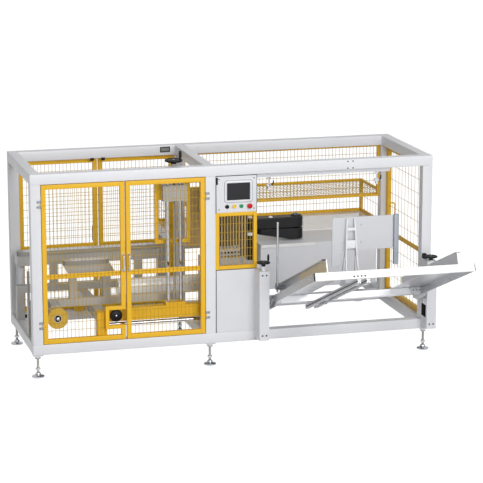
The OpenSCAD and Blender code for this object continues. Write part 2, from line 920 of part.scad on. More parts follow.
// Ground steel rods: the mast's guide rods and screw, the shaft under the lift beam
screw_d = 18;
module chrome_rods() {
    foot_z = beam_z[1] + mast_base_t;
    color("silver") place() {
        for (s = [-0.5, 0.5])
            translate([mast_x + s * rod_gap, mast_y, foot_z])
                cylinder(d = rod_d, h = mast_z - foot_z);
        translate([mast_x, mast_y, foot_z]) cylinder(d = screw_d, h = mast_z - foot_z);
        translate([beam_x[0] + hanger_t, mast_y, shaft_z]) rotate([0, 90, 0])
            cylinder(d = rod_d, h = beam_x[1] - beam_x[0] - hanger_t);
    }
}

// Mast's base plate on the lift beam
mast_plate_x = [mast_x - rod_gap / 2 - rod_d, mast_x + rod_gap / 2 + rod_d];
module mast_base() {
    color("goldenrod") place()
        block(mast_plate_x, beam_y, [beam_z[1], beam_z[1] + mast_base_t]);
}

// Mast head: cap plate on the rods, with the screw's bearing post
bearing_d = 44;
bearing_h = 118;
cap_t = 20;
wheel_hub_z = mast_z + cap_t + bearing_h;
module mast_head() {
    arm_l = 160;
    head_arm_w = 60;
    color("silver") place() {
        block(mast_plate_x, beam_y, [mast_z, mast_z + cap_t]);
        translate([mast_x, mast_y, mast_z + cap_t])
            cylinder(d = bearing_d, h = bearing_h);
        block([mast_plate_x[0] - arm_l, mast_plate_x[0]], [beam_y[0], beam_y[0] + head_arm_w],
              [mast_z, mast_z + cap_t]);
    }
}

// Carriage on the guide rods: a bored block with a loop frame hung behind it
carriage_z = [mast_z - 150, mast_z - 25];
module mast_carriage() {
    half_w = 94;
    front = 34;
    loop_half = 140;
    loop_h = 470;
    loop_bar = 26;
    loop_z = [carriage_z[1] - loop_h, carriage_z[1]];
    loop_x = [mast_x - loop_half, mast_x + loop_half];
    loop_y = beam_y[1] + 6;
    bore_l = carriage_z[1] - carriage_z[0] + 2 * overlap;
    color("goldenrod") place() {
        difference() {
            block([mast_x - half_w, mast_x + half_w], [mast_y - front, loop_y], carriage_z);
            for (s = [-0.5, 0.5])
                translate([mast_x + s * rod_gap, mast_y, carriage_z[0] - overlap])
                    cylinder(d = rod_d + 2 * seat, h = bore_l);
            translate([mast_x, mast_y, carriage_z[0] - overlap])
                cylinder(d = screw_d + 2 * seat, h = bore_l);
        }
        upright(loop_y, loop_bar) difference() {
            polygon(corners(loop_x, loop_z));
            polygon(corners([loop_x[0] + loop_bar, loop_x[1] - loop_bar],
                            [loop_z[0] + loop_bar, carriage_z[0]]));
        }
    }
}

module mast_handwheel() {
    color("black") place() translate([mast_x, mast_y, wheel_hub_z + seat])
        handwheel(mast_wheel_d, 34, 72);
}

// Magazine columns: boxes with an upright channel in their inner face for the tray's
// slide block, and the neck of the screw's bearing on top
column_face = [column_x[0] + column_w, column_x[1]];
neck_d = 36;
module magazine_columns() {
    channel_x = [[column_face[0] - channel_depth, column_face[0] + overlap],
                 [column_face[1] - overlap, column_face[1] + channel_depth]];
    channel_y = [-pivot_out - channel_w / 2, -pivot_out + channel_w / 2];
    color("gainsboro") place() for (k = [0, 1]) {
        difference() {
            block([column_x[k], column_x[k] + column_w], [-column_d, 0], [z_low + 30, column_z]);
            block(channel_x[k], channel_y, channel_z);
        }
        translate([column_x[k] + column_w / 2, -screw_out, column_z])
            cylinder(d = neck_d, h = neck_h[k]);
    }
}

module column_wheel(k, grip) {
    translate([column_x[k] + column_w / 2, -screw_out, column_z + neck_h[k] + seat])
        handwheel(104, 34, grip);
}

module left_column_wheel() {
    color("black") place() column_wheel(0, 64);
}

module right_column_wheel() {
    color("black") place() column_wheel(1, 0);
}

// Tray: drawn level about the pivot beam's middle, then tilted; -Y runs outwards
module tilted() {
    place() translate(pivot) rotate([-tray_tilt, 0, 0]) children();
}

beam_h = 56;
beam_d = 50;
side_t = 10;
side_h = 60;
tray_low = 190;
bar_t = 24;
strut_w = 26;
strut_h = 34;

module pivot_beam() {
    color("silver") tilted()
        block(tray_x + [side_t, -side_t], [-beam_d / 2, beam_d / 2], [-beam_h / 2, beam_h / 2]);
}

// Side plates, each with a pin and the slide block that rides in its column's channel
module tray_side_plates() {
    block_y = [-pivot_out - channel_w / 2 + seat, -pivot_out + channel_w / 2 - seat];
    block_x = [[column_face[0] - slider_t, column_face[0]], [column_face[1], column_face[1] + slider_t]];
    pin_x = [[column_face[0] - slider_t / 2, tray_x[0] + side_t / 2],
             [tray_x[1] - side_t / 2, column_face[1] + slider_t / 2]];
    color("silver") {
        tilted() {
            for (x = [tray_x[0], tray_x[1] - side_t])
                sideways(x, side_t) polygon([
                    [tray_low, -side_h / 2], [tray_low, side_h / 2], [-tray_l + bar_t, side_h / 2],
                    [-tray_l + bar_t, -side_h / 2], [-140, -side_h / 2], [-90, -side_h / 2 - 30],
                    [90, -side_h / 2 - 30]]);
            for (x = pin_x)
                translate([x[0], 0, 0]) rotate([0, 90, 0]) cylinder(d = tray_pin_d, h = x[1] - x[0]);
        }
        place() for (x = block_x) block(x, block_y, slider_z);
    }
}

module tray_front_bar() {
    color("white") tilted()
        block(tray_x, [-tray_l, -tray_l + bar_t], [-side_h / 2, side_h / 2]);
}

// Pair of rails under the pusher, from the lower rods to the front bar
module tray_struts() {
    color("silver") tilted() for (x = strut_x)
        block([x, x + strut_w], [-tray_l + bar_t, tray_low], [-beam_h / 2 - strut_h, -beam_h / 2]);
}

// Narrow floor plates under the guides
floor_t = 3;
module tray_floor_plates() {
    left = [tray_x[0] + side_t, tray_x[0] + 300];
    right = [tray_x[1] - 260, tray_x[1] - side_t];
    color("silver") tilted() for (x = [left, right])
        block(x, [-tray_l + bar_t, tray_low], [beam_h / 2, beam_h / 2 + floor_t]);
}

// Channel guides that stand on the floor plates: web, foot and a top flange turned outwards
guide_inset = 110;
guide_h = 100;
module tray_guides() {
    guide_t = 8;
    foot_w = 40;
    flange_w = 34;
    foot_t = 6;
    floor_z = beam_h / 2 + floor_t;
    guide_y = [-tray_l + 40, 120];
    web_x = [tray_x[0] + guide_inset, tray_x[1] - guide_inset - guide_t];
    color("silver") tilted() for (k = [0, 1]) {
        x = web_x[k];
        flange_x = k == 0 ? [x - flange_w, x] : [x + guide_t, x + guide_t + flange_w];
        block([x, x + guide_t], guide_y, [floor_z, floor_z + guide_h]);
        block([x + guide_t, x + guide_t + foot_w], guide_y, [floor_z, floor_z + foot_t]);
        block(flange_x, guide_y, [floor_z + guide_h - foot_t, floor_z + guide_h]);
    }
}

// Cross rods at the lower end; the upright guide rod clamped to the left guide
module tray_rods() {
    rod = 16;
    guide_rod_h = 550;
    rod_x = tray_x[0] + 45;
    rod_y = -pivot_out - 20;
    clamp_w = 30;
    clamp_z = pivot_z + 90;
    color("silver") {
        tilted() for (y = [70, 150])
            translate([tray_x[0] + side_t, y, 0]) rotate([0, 90, 0])
                cylinder(d = rod, h = tray_x[1] - tray_x[0] - 2 * side_t);
        place() {
            translate([rod_x, rod_y, clamp_z - 20]) cylinder(d = rod, h = guide_rod_h);
            block([rod_x - clamp_w / 2, tray_x[0] + guide_inset],
                  [rod_y - clamp_w / 2, rod_y + clamp_w / 2], [clamp_z, clamp_z + clamp_w]);
        }
    }
}

// Pusher: stands upright on the sloping rails, near their outer end
pusher_y = -879;
pusher_low = 262;
rail_z = -beam_h / 2;
rail_mid = (strut_x[0] + strut_x[1] + strut_w) / 2;
pusher_x = [rail_mid - 149, rail_mid - 149 + pusher_w];
module on_rails() {
    tilted() translate([0, pusher_y, rail_z]) rotate([tray_tilt, 0, 0])
        children();
}

// Pusher's plate with a short left leg and a full-height right bar
module pusher_plate() {
    plate_t = 8;
    leg_w = 66;
    leg_h = 122;
    bar_w = 38;
    plate_z = [pusher_low, pusher_low + pusher_h];
    color("silver") on_rails() {
        block(pusher_x, [0, plate_t], plate_z);
        block([pusher_x[0], pusher_x[0] + leg_w], [0, plate_t], [pusher_low - leg_h, pusher_low]);
        block([pusher_x[1], pusher_x[1] + bar_w], [-20, plate_t],
              [pusher_low - leg_h, plate_z[1] + 6]);
    }
}

// Pusher's arm: a shoe on the rails, two tapered cheeks and the plates between them
module pusher_arm() {
    shoe_t = 26;
    cheek_t = 8;
    cheek_x = [strut_x[0] - 6, strut_x[1] + strut_w + 6 - cheek_t];
    rise = tan(tray_tilt);
    top_z = pusher_low + pusher_h - 10;
    color("whitesmoke") on_rails() {
        rotate([-tray_tilt, 0, 0])
            block([cheek_x[0], cheek_x[1] + cheek_t], [-90, 60], [seat, shoe_t]);
        for (x = cheek_x)
            sideways(x, cheek_t) polygon([
                [-80, 80 * rise + shoe_t], [40, -40 * rise + shoe_t - 4], [20, 130],
                [0, pusher_low - 1], [0, top_z], [-22, top_z], [-48, pusher_low - 40]]);
        for (z = [pusher_low + 30, top_z - 70])
            block([cheek_x[0] + cheek_t, cheek_x[1]], [-26, -20], [z, z + 50]);
    }
}

posts();
top_long_rails();
top_cross_rails();
bottom_long_rails();
bottom_cross_rails();
leveling_feet();
door_hinges();
sensor_rail();
front_left_door();
front_left_handle();
front_right_door();
front_right_handle();
back_left_door();
back_left_handle();
back_right_door();
back_right_handle();
end_door();
end_door_mesh();
control_box();
operator_screen();
push_buttons();
guard_window();
valve_panel();
lower_cabinet();
bay_rails();
bay_deck();
robot_table();
cage_walls();
cage_roof();
robot_pedestal();
robot_upper_arm();
robot_forearm();
bed_posts();
bed_cross_tubes();
bed_rails();
belt_units();
drive_belts();
belt_motor();
transfer_cover();
tape_bracket();
tape_reel();
lift_beam();
beam_handwheel();
chrome_rods();
mast_base();
mast_head();
mast_carriage();
mast_handwheel();
magazine_columns();
left_column_wheel();
right_column_wheel();
pivot_beam();
tray_side_plates();
tray_front_bar();
tray_struts();
tray_floor_plates();
tray_guides();
tray_rods();
pusher_plate();
pusher_arm();
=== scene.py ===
"""Looks of a guarded case erector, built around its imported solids.

All sizes in this file are millimetres in the part's own frame: +X along the line towards the
magazine, +Y to the back, +Z up, with the origin under the front left foot. Meshes are turned to
metres when they are made.
"""
import json
import logging
import math
from dataclasses import dataclass, field
from enum import Enum
from typing import Callable, Iterable, Optional, Sequence

import bmesh
import bpy
import numpy as np
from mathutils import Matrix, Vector


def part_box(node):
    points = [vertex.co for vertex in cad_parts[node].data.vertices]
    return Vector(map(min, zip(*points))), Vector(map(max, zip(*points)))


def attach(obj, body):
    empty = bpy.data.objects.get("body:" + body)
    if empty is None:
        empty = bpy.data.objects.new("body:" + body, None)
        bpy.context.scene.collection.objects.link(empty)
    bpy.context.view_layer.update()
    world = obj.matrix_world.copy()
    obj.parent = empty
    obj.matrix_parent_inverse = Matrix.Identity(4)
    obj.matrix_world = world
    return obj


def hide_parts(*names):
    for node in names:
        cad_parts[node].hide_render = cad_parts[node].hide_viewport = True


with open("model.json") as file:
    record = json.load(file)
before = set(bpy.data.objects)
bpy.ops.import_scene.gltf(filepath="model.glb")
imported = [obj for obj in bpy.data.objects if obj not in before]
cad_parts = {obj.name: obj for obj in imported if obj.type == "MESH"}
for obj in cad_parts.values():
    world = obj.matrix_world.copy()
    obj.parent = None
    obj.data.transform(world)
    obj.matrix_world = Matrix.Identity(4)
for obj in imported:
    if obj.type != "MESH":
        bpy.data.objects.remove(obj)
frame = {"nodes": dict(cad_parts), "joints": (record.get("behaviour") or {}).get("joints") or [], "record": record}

LOG = logging.getLogger("case_erector")
MM = 0.001
# Side of the frame's square tube
TUBE = 80.0
# Line between the paired doors, and the heights of all hinges
DOOR_SPLIT_X = 687.0
HINGE_Z = (410.0, 1350.0)
# Edges sharper than this stay crisp, and split points nearer than this are one point
SHARP_DEG = 32.0
SAME_POINT = 0.01
# Faces that meet flatter than the first are one face, and edges sharper than the second are broken
FLAT_DEG = 1.0
BROKEN_DEG = 40.0
Array = np.ndarray
Patch = tuple[Array, list]


class Axis(Enum):
    """The three directions of the part's frame, by index."""

    X = 0
    Y = 1
    Z = 2


def linear(hex_colour: str) -> tuple[float, float, float, float]:
    """Turn an sRGB hex colour into linear RGBA.

    Args:
        hex_colour: Six hex digits after a hash sign.

    Returns:
        Linear red, green, blue and an alpha of one.
    """
    parts = [int(hex_colour[i:i + 2], 16) / 255 for i in (1, 3, 5)]
    curve = [c / 12.92 if c <= 0.04045 else ((c + 0.055) / 1.055) ** 2.4 for c in parts]
    return (*curve, 1.0)


def add_node(tree: bpy.types.NodeTree, kind: str, settings: Optional[dict] = None,
             links: Optional[dict] = None) -> bpy.types.Node:
    """Add one node to a tree, set its values and link its inputs.

    Args:
        tree: The node tree.
        kind: Blender's name of the node type.
        settings: Attribute names, or input names and numbers, with their values.
        links: Input names or numbers with the output sockets that feed them.

    Returns:
        The new node.
    """
    node = tree.nodes.new(kind)
    for key, value in (settings or {}).items():
        if isinstance(key, str) and hasattr(node, key):
            setattr(node, key, value)
        else:
            node.inputs[key].default_value = value
    for key, socket in (links or {}).items():
        tree.links.new(socket, node.inputs[key])
    return node


@dataclass(frozen=True)
class Finish:
    """A surface: its colour, how rough and metallic it is, and its fine grain.

    The grain is a noise of a real size that mottles the colour a little, varies the roughness and
    lifts the surface, so no face is one flat tone.
    """

    name: str
    colour: str
    slot: str
    roughness: float = 0.4
    metallic: float = 0.0
    mottle: float = 0.03
    grain_mm: float = 1.5
    bump_mm: float = 0.02
    stretch: tuple[float, float, float] = (1.0, 1.0, 1.0)
    coat: float = 0.0
    specular: float = 0.5
    coat_roughness: float = 0.08
    gloss_swing: float = 0.05

    def material(self) -> bpy.types.Material:
        """Make the material once and return it.

        Returns:
            The node material of this finish.
        """
        known = bpy.data.materials.get(self.name)
        if known:
            return known
        made = bpy.data.materials.new(self.name)
        made.use_nodes = True
        tree = made.node_tree
        shader = tree.nodes["Principled BSDF"]
        shader.inputs["Metallic"].default_value = self.metallic
        shader.inputs["Coat Weight"].default_value = self.coat
        shader.inputs["Coat Roughness"].default_value = self.coat_roughness
        shader.inputs["Specular IOR Level"].default_value = self.specular
        place = add_node(tree, "ShaderNodeTexCoord")
        scaled = add_node(tree, "ShaderNodeMapping", {"Scale": self.stretch},
                          {"Vector": place.outputs["Object"]})
        grain = add_node(tree, "ShaderNodeTexNoise",
                         {"Scale": 1 / (self.grain_mm * MM), "Detail": 3.0, "Roughness": 0.6},
                         {"Vector": scaled.outputs["Vector"]})
        cloud = add_node(tree, "ShaderNodeTexNoise", {"Scale": 1 / (CLOUD_MM * MM), "Detail": 2.0},
                         {"Vector": scaled.outputs["Vector"]})
        both = add_node(tree, "ShaderNodeMath", {"operation": "ADD"},
                        {0: grain.outputs["Fac"], 1: cloud.outputs["Fac"]})
        base = linear(self.colour)
        dark = tuple(c * (1 - self.mottle) for c in base[:3]) + (1.0,)
        light = tuple(min(1.0, c * (1 + self.mottle)) for c in base[:3]) + (1.0,)
        share = add_node(tree, "ShaderNodeMapRange",
                         {"From Min": 0.6, "From Max": 1.4, "To Min": 0.0, "To Max": 1.0},
                         {"Value": both.outputs["Value"]})
        tint = add_node(tree, "ShaderNodeMix", {"data_type": "RGBA", 6: dark, 7: light},
                        {0: share.outputs["Result"]})
        gloss = add_node(tree, "ShaderNodeMapRange",
                         {"From Min": 0.3, "From Max": 0.7,
                          "To Min": max(0.02, self.roughness - self.gloss_swing),
                          "To Max": self.roughness + self.gloss_swing},
                         {"Value": cloud.outputs["Fac"]})
        bump = add_node(tree, "ShaderNodeBump", {"Strength": 0.5, "Distance": self.bump_mm * MM},
                        {"Height": grain.outputs["Fac"]})
        tree.links.new(tint.outputs[2], shader.inputs["Base Color"])
        tree.links.new(gloss.outputs["Result"], shader.inputs["Roughness"])
        tree.links.new(bump.outputs["Normal"], shader.inputs["Normal"])
        return made


# Size of the soft clouds in colour and gloss that handling and uneven coating leave
CLOUD_MM = 220.0

# Powder coat on steel tube: an even pale grey with a fine orange peel and a satin shine
FRAME_COAT = Finish("powder_coated_steel_tube", "#E4E5E9", "frame_white", 0.34, bump_mm=0.03, grain_mm=2.0)
# Powder coat on folded sheet: the same grey, a little flatter
PANEL_COAT = Finish("powder_coated_steel_sheet", "#DFE0E4", "panel_grey", 0.4, bump_mm=0.03, grain_mm=2.0)
# Golden powder coat on the guards: strong colour, satin
GUARD_COAT = Finish("yellow_powder_coated_guard", "#EEBB2A", "guard_yellow", 0.4, bump_mm=0.03,
                    grain_mm=2.0, specular=0.3)
# The guard's coat on thin wire, painted darker and a little greener as painted shade, since the wire looks darker
# against the light
WIRE_COAT_SHADED = Finish("yellow_wire_coat_painted_shade", "#C29D1C", "guard_yellow", 0.45, bump_mm=0.03,
                   grain_mm=2.0, specular=0.25)
# Machine enamel on the bed: mid grey, brushed on
BED_ENAMEL = Finish("machine_grey_enamel", "#B4B3B0", "bed_grey", 0.38, mottle=0.05)
# White enamelled sheet: glossy enough to mirror the mesh
WHITE_SHEET = Finish("white_enamelled_sheet", "#F6F6F6", "deck_white", 0.12, mottle=0.015, coat=0.3)
# White enamel on bars and castings: satin, so it stays white in shade
WHITE_ENAMEL = Finish("satin_white_enamel", "#F4F4F4", "deck_white", 0.35, mottle=0.015)
# Brushed stainless steel: long fine strokes that stretch the highlights
STAINLESS = Finish("brushed_stainless_steel", "#BFC0C3", "stainless", 0.32, 0.7, 0.05, 0.8, 0.02,
                   (1, 1, 12))
# Ground and chromed bar: bright with a faint round grind
CHROME = Finish("ground_chromed_bar", "#AEB0B5", "ground_steel", 0.16, 1.0, 0.02, 0.6, 0.004, (1, 1, 6))
# Rolled screw thread: the same steel, darker with grease
SCREW_STEEL = Finish("greased_screw_steel", "#8B8A86", "ground_steel", 0.35, 0.9, 0.08, 0.8, 0.02)
# Bead blasted stainless sheet: even, soft and pale
BLASTED_SHEET = Finish("bead_blasted_stainless_sheet", "#BABBBF", "stainless", 0.5, 0.25, 0.03, 0.9, 0.02)
# Extruded aluminium: pale and matt with die lines along its length
ALUMINIUM = Finish("anodised_aluminium", "#D6D7DA", "stainless", 0.42, 0.3, 0.04, 0.7, 0.02, (12, 1, 1))
# Drawn steel bar with a blue grey mill skin; the same grey round the screen's bezel is painted shade
DRAWN_STEEL_AND_RIM_SHADE = Finish("drawn_steel_bar_and_rim_shade", "#8F939B", "stainless", 0.4, 0.5, 0.06, 0.8, 0.02, (12, 12, 1))
# Zinc plated fasteners: bright but a little milky
ZINC = Finish("zinc_plated_fastener", "#B4B6BA", "stainless", 0.28, 0.9, 0.06, 0.8, 0.02)
# Black moulded handwheel plastic: fine spark texture; the same black on discs and slots in holes and bores is
# painted shade
BLACK_PLASTIC_AND_HOLE_SHADE = Finish("black_moulded_plastic_and_hole_shade", "#0B0B0D", "black_plastic", 0.5, mottle=0.08,
                       bump_mm=0.05, specular=0.22)
# Satin black enamel on the arm's castings; the same black on the ribs behind the window is painted shade
BLACK_ENAMEL_AND_RIB_SHADE = Finish("satin_black_enamel_and_rib_shade", "#121215", "arm_black", 0.4, mottle=0.08, bump_mm=0.04,
                    specular=0.25)
# Brown sheet behind the window, warm and dim with a dull shine: painted shade for the dark inside the enclosure
# there
BROWN_SHEET_SHADE = Finish("brown_sheet_painted_shade", "#CDB28A", "arm_black", 0.4, mottle=0.1, bump_mm=0.02,
                      specular=0.2)
# Grey belt rubber: dull, with a fine woven print
BELT_RUBBER = Finish("grey_belt_rubber", "#9A9995", "belt_grey", 0.7, mottle=0.1, grain_mm=1.2,
                     bump_mm=0.08)
# Black that is painted shade: in the gaps round the cabinet fronts, in the columns' channels and in the rails'
# grooves
BLACK_PAINTED_SHADE = Finish("black_painted_shade", "#222226", "black_plastic", 0.7, mottle=0.1, bump_mm=0.05)
# Wound packing tape: glossy film layers seen edge on
TAPE_FILM = Finish("wound_packing_tape", "#D4AE3A", "tape_yellow", 0.3, mottle=0.06, grain_mm=0.8,
                   bump_mm=0.03)
# Buff lining strip inside the guides: dull and warm
BUFF_LINING = Finish("buff_guide_lining", "#EADCBA", "stainless", 0.55, mottle=0.05)
# Pale screen moulding
SCREEN_MOULDING = Finish("pale_screen_moulding", "#E6E7EA", "screen_plastic", 0.35, bump_mm=0.03)
# Display glass, switched off
DISPLAY_GLASS = Finish("dark_display_glass", "#1C1C20", "screen_plastic", 0.22, mottle=0.03,
                       bump_mm=0.002, specular=0.25)
# Moulded button caps
RED_CAP = Finish("red_moulded_cap", "#C40F16", "button_plastic", 0.28, bump_mm=0.01, specular=0.3)
GREEN_CAP = Finish("green_moulded_cap", "#0A9055", "button_plastic", 0.28, bump_mm=0.01, specular=0.3)
YELLOW_CAP = Finish("yellow_moulded_cap", "#F7C40E", "button_plastic", 0.28, bump_mm=0.01, specular=0.3)
BLACK_CAP = Finish("black_moulded_cap", "#08080A", "button_plastic", 0.3, bump_mm=0.01, specular=0.2)


def node_box(node: str) -> tuple[Array, Array]:
    """Give the lowest and highest corner of a CAD node in millimetres."""
    low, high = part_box(node)
    return np.array(low) / MM, np.array(high) / MM


def joint_at(key: str, value: str) -> Array:
    """Give the place in millimetres of the joint whose entry has a value under a key."""
    return next(np.array(j["pos_m"]) / MM for j in frame["joints"] if j[key] == value)


def back_middle(low: Array, high: Array) -> Array:
    """Give the middle of a box's back face."""
    return np.array([(low[0] + high[0]) / 2, high[1], (low[2] + high[2]) / 2])


def grid_faces(rows: int, cols: int, close_rows: bool = False, close_cols: bool = False) -> list:
    """List the quads of a parameter grid whose points run row by row.

    Args:
        rows: Number of rows.
        cols: Number of columns.
        close_rows: Join the last row to the first.
        close_cols: Join the last column to the first.

    Returns:
        Quads as lists of point numbers.
    """
    r = np.arange(rows if close_rows else rows - 1)
    c = np.arange(cols if close_cols else cols - 1)
    r0, c0 = (a.ravel() for a in np.meshgrid(r, c, indexing="ij"))
    r1, c1 = (r0 + 1) % rows, (c0 + 1) % cols
    return np.stack([r0 * cols + c0, r0 * cols + c1, r1 * cols + c1, r1 * cols + c0], 1).tolist()


def tube_faces(rows: int, cols: int) -> list:
    """List the quads of a round of columns carried along rows, with a face over each end."""
    ends = [list(range(cols))[::-1], list(range((rows - 1) * cols, rows * cols))]
    return grid_faces(rows, cols, close_cols=True) + ends


def rings(u: Array, v: Array, sides: int) -> Array:
    """Give unit circles in the planes of paired directions, of shape (n, sides, 3)."""
    angle = np.arange(sides) * 2 * math.pi / sides
    return np.cos(angle)[None, :, None] * u[:, None] + np.sin(angle)[None, :, None] * v[:, None]


def rounded_rectangle(width: float, height: float, radius: float, steps: int = 4) -> Array:
    """Outline of a rectangle with round corners, anticlockwise about the middle.

    Each corner is a quarter circle of the radius about a centre that lies one radius inside.

    Args:
        width: Size along the first axis.
        height: Size along the second axis.
        radius: Corner radius.
        steps: Segments in each corner.

    Returns:
        Points of shape (4 * (steps + 1), 2).
    """
    turn = np.linspace(0, math.pi / 2, steps + 1)
    angle = (turn[None, :] + np.arange(4)[:, None] * math.pi / 2).ravel()
    side_x = np.repeat([1, -1, -1, 1], steps + 1) * (width / 2 - radius)
    side_y = np.repeat([1, 1, -1, -1], steps + 1) * (height / 2 - radius)
    return np.stack([side_x + radius * np.cos(angle), side_y + radius * np.sin(angle)], 1)


def prism(outlines: Sequence[Array], heights: Sequence[float]) -> Patch:
    """Carry outlines of equal point count up a straight path, with flat ends.

    Args:
        outlines: One outline of shape (n, 2) for each station, anticlockwise.
        heights: The height of each station, rising.

    Returns:
        Points and faces, with the path along the third axis.
    """
    stations = [np.column_stack([o, np.full(len(o), h)]) for o, h in zip(outlines, heights)]
    return np.concatenate(stations), tube_faces(len(stations), len(outlines[0]))


AXIS_TURN = {
    Axis.X: np.array([[0, 0, 1], [1, 0, 0], [0, 1, 0]], float),
    Axis.Y: np.array([[0, 1, 0], [0, 0, 1], [1, 0, 0]], float),
    Axis.Z: np.eye(3),
}


def along(patch: Patch, axis: Axis, origin: Sequence[float] = (0, 0, 0)) -> Patch:
    """Turn a patch so that its third direction runs along an axis, then move it.

    Args:
        patch: Points and faces.
        axis: Where the third direction goes; the first two follow in cyclic order.
        origin: Where the patch's origin goes.

    Returns:
        The moved patch.
    """
    points, faces = patch
    return points @ AXIS_TURN[axis].T + np.asarray(origin, float), faces


def bar(low: Sequence[float], high: Sequence[float], axis: Axis, radius: float = 3.0,
        chamfer: float = 1.0) -> Patch:
    """Square or flat bar with rounded long edges and broken ends.

    A rounded rectangle is carried along the axis; at both ends it is drawn in by the chamfer.

    Args:
        low: Lowest corner.
        high: Highest corner.
        axis: Direction of the bar's length.
        radius: Radius of the long edges.
        chamfer: Size of the broken end edges.

    Returns:
        Points and faces.
    """
    low, high = np.asarray(low, float), np.asarray(high, float)
    size = high - low
    k = axis.value
    w, h = size[(k + 1) % 3], size[(k + 2) % 3]
    radius = min(radius, 0.49 * w, 0.49 * h)
    chamfer = min(chamfer, 0.8 * radius)
    full = rounded_rectangle(w, h, radius)
    drawn = rounded_rectangle(w - 2 * chamfer, h - 2 * chamfer, radius - chamfer)
    middle = (low + high) / 2
    middle[k] = low[k]
    heights = [0, chamfer, size[k] - chamfer, size[k]]
    return along(prism([drawn, full, full, drawn], heights), axis, middle)


def wires(starts: Array, ends: Array, radius: float, sides: int = 8) -> Patch:
    """Straight round wires, one between each start and end, all in one array.

    A circle in the plane square to each wire is set at both of its ends.

    Args:
        starts: First ends, of shape (n, 3).
        ends: Second ends, of shape (n, 3).
        radius: Wire radius.
        sides: Sides of the circle.

    Returns:
        Points and faces.
    """
    run = ends - starts
    run = run / np.linalg.norm(run, axis=1, keepdims=True)
    helper = np.where(np.abs(run[:, 2:3]) > 0.9, [[1.0, 0, 0]], [[0, 0, 1.0]])
    u = np.cross(helper, run)
    u = u / np.linalg.norm(u, axis=1, keepdims=True)
    ring = radius * rings(u, np.cross(run, u), sides)
    points = np.stack([starts[:, None] + ring, ends[:, None] + ring], 1).reshape(-1, 3)
    quads = np.array(grid_faces(2, sides, close_cols=True))
    offset = (np.arange(len(starts)) * 2 * sides)[:, None, None]
    return points, (quads[None] + offset).reshape(-1, 4).tolist()


def bent_path(corners: Sequence[Sequence[float]], bend: float, steps: int = 6) -> Array:
    """Polyline whose inner corners are replaced with round bends.

    At each corner a quadratic curve runs from a point one bend length before it to one after it.

    Args:
        corners: Corner points.
        bend: Length of straight that each bend takes.
        steps: Segments in a bend.

    Returns:
        Points along the path.
    """
    pts = np.asarray(corners, float)
    t = np.linspace(0, 1, steps + 1)[:, None]
    parts = [pts[:1]]
    for before, here, after in zip(pts[:-2], pts[1:-1], pts[2:]):
        a = here + (before - here) / np.linalg.norm(before - here) * bend
        b = here + (after - here) / np.linalg.norm(after - here) * bend
        parts.append((1 - t) ** 2 * a + 2 * t * (1 - t) * here + t ** 2 * b)
    parts.append(pts[-1:])
    return np.concatenate(parts)


def round_bar(path: Array, radius: float, sides: int = 14) -> Patch:
    """Round bar along a path: a circle carried square to the path, with flat ends.

    Args:
        path: Points along the middle line.
        radius: Bar radius.
        sides: Sides of the circle.

    Returns:
        Points and faces.
    """
    path = np.asarray(path, float)
    run = np.gradient(path, axis=0)
    run = run / np.linalg.norm(run, axis=1, keepdims=True)
    normal = np.cross(run[0], [0.31, 0.52, 0.79])
    frames = []
    for t in run:
        normal = normal - t * np.dot(normal, t)
        normal = normal / np.linalg.norm(normal)
        frames.append((normal, np.cross(t, normal)))
    u = np.array([f[0] for f in frames])
    v = np.array([f[1] for f in frames])
    points = (path[:, None] + radius * rings(u, v, sides)).reshape(-1, 3)
    return points, tube_faces(len(path), sides)


def revolve(profile: Sequence[Sequence[float]], sides: int = 32, ring: bool = False) -> Patch:
    """Turned shape about the third axis: a profile of (radius, height) swung round.

    Args:
        profile: Points from the bottom to the top along the outside.
        sides: Steps round the axis.
        ring: The profile is a closed loop, so the shape is a ring with no end faces.

    Returns:
        Points and faces.
    """
    shape = np.asarray(profile, float)
    shape[:, 0] = np.maximum(shape[:, 0], 0.01)
    angle = np.arange(sides) * 2 * math.pi / sides
    x = shape[:, :1] * np.cos(angle)
    y = shape[:, :1] * np.sin(angle)
    z = np.broadcast_to(shape[:, 1:2], x.shape)
    points = np.stack([x, y, z], 2).reshape(-1, 3)
    if ring:
        return points, grid_faces(len(shape), sides, close_rows=True, close_cols=True)
    return points, tube_faces(len(shape), sides)


def turned(radius: float, low: float, high: float, edge: float, sides: int) -> Patch:
    """Round bar about the third axis between two heights, with broken ends.

    Args:
        radius: Bar radius.
        low: Height of its lower end.
        high: Height of its upper end.
        edge: Size of the broken end edges.
        sides: Steps round the axis.

    Returns:
        Points and faces.
    """
    drawn = radius - edge
    return revolve([[drawn, low], [radius, low + edge], [radius, high - edge], [drawn, high]], sides)


def disc(radius: float, height: float, sides: int) -> Patch:
    """Flat round disc that stands on its origin: painted shade for bores, which show dark."""
    return revolve([[radius, 0], [radius, height], [0, height]], sides)


def copies(patch: Patch, places: Iterable[Sequence[float]]) -> Patch:
    """Repeat a patch at several places.

    Args:
        patch: Points and faces.
        places: Where each copy's origin goes.

    Returns:
        All copies as one patch.
    """
    points, faces = patch
    spots = np.asarray(list(places), float)
    moved = (points[None] + spots[:, None]).reshape(-1, 3)
    joined = [[i + k * len(points) for i in f] for k in range(len(spots)) for f in faces]
    return moved, joined


def screw_head(diameter: float, height: float) -> Patch:
    """Round socket screw head standing on its origin, with a sunk socket.

    Args:
        diameter: Head diameter.
        height: Head height.

    Returns:
        Points and faces.
    """
    r = diameter / 2
    edge = 0.12 * diameter
    return revolve([[r, 0], [r, height - edge], [r - edge, height], [0.45 * r, height],
                    [0.42 * r, 0.4 * height], [0, 0.4 * height]], 16)


def outward(patch: Patch, spot: Sequence[float] = (0, 0, 0)) -> Patch:
    """Point a patch's third direction out of the front, along -Y, at a spot.

    Args:
        patch: Points and faces.
        spot: Where the patch's origin goes.

    Returns:
        The mirrored and moved patch.
    """
    points, faces = along(patch, Axis.Y)
    return points * [1, -1, 1] + np.asarray(spot, float), [f[::-1] for f in faces]


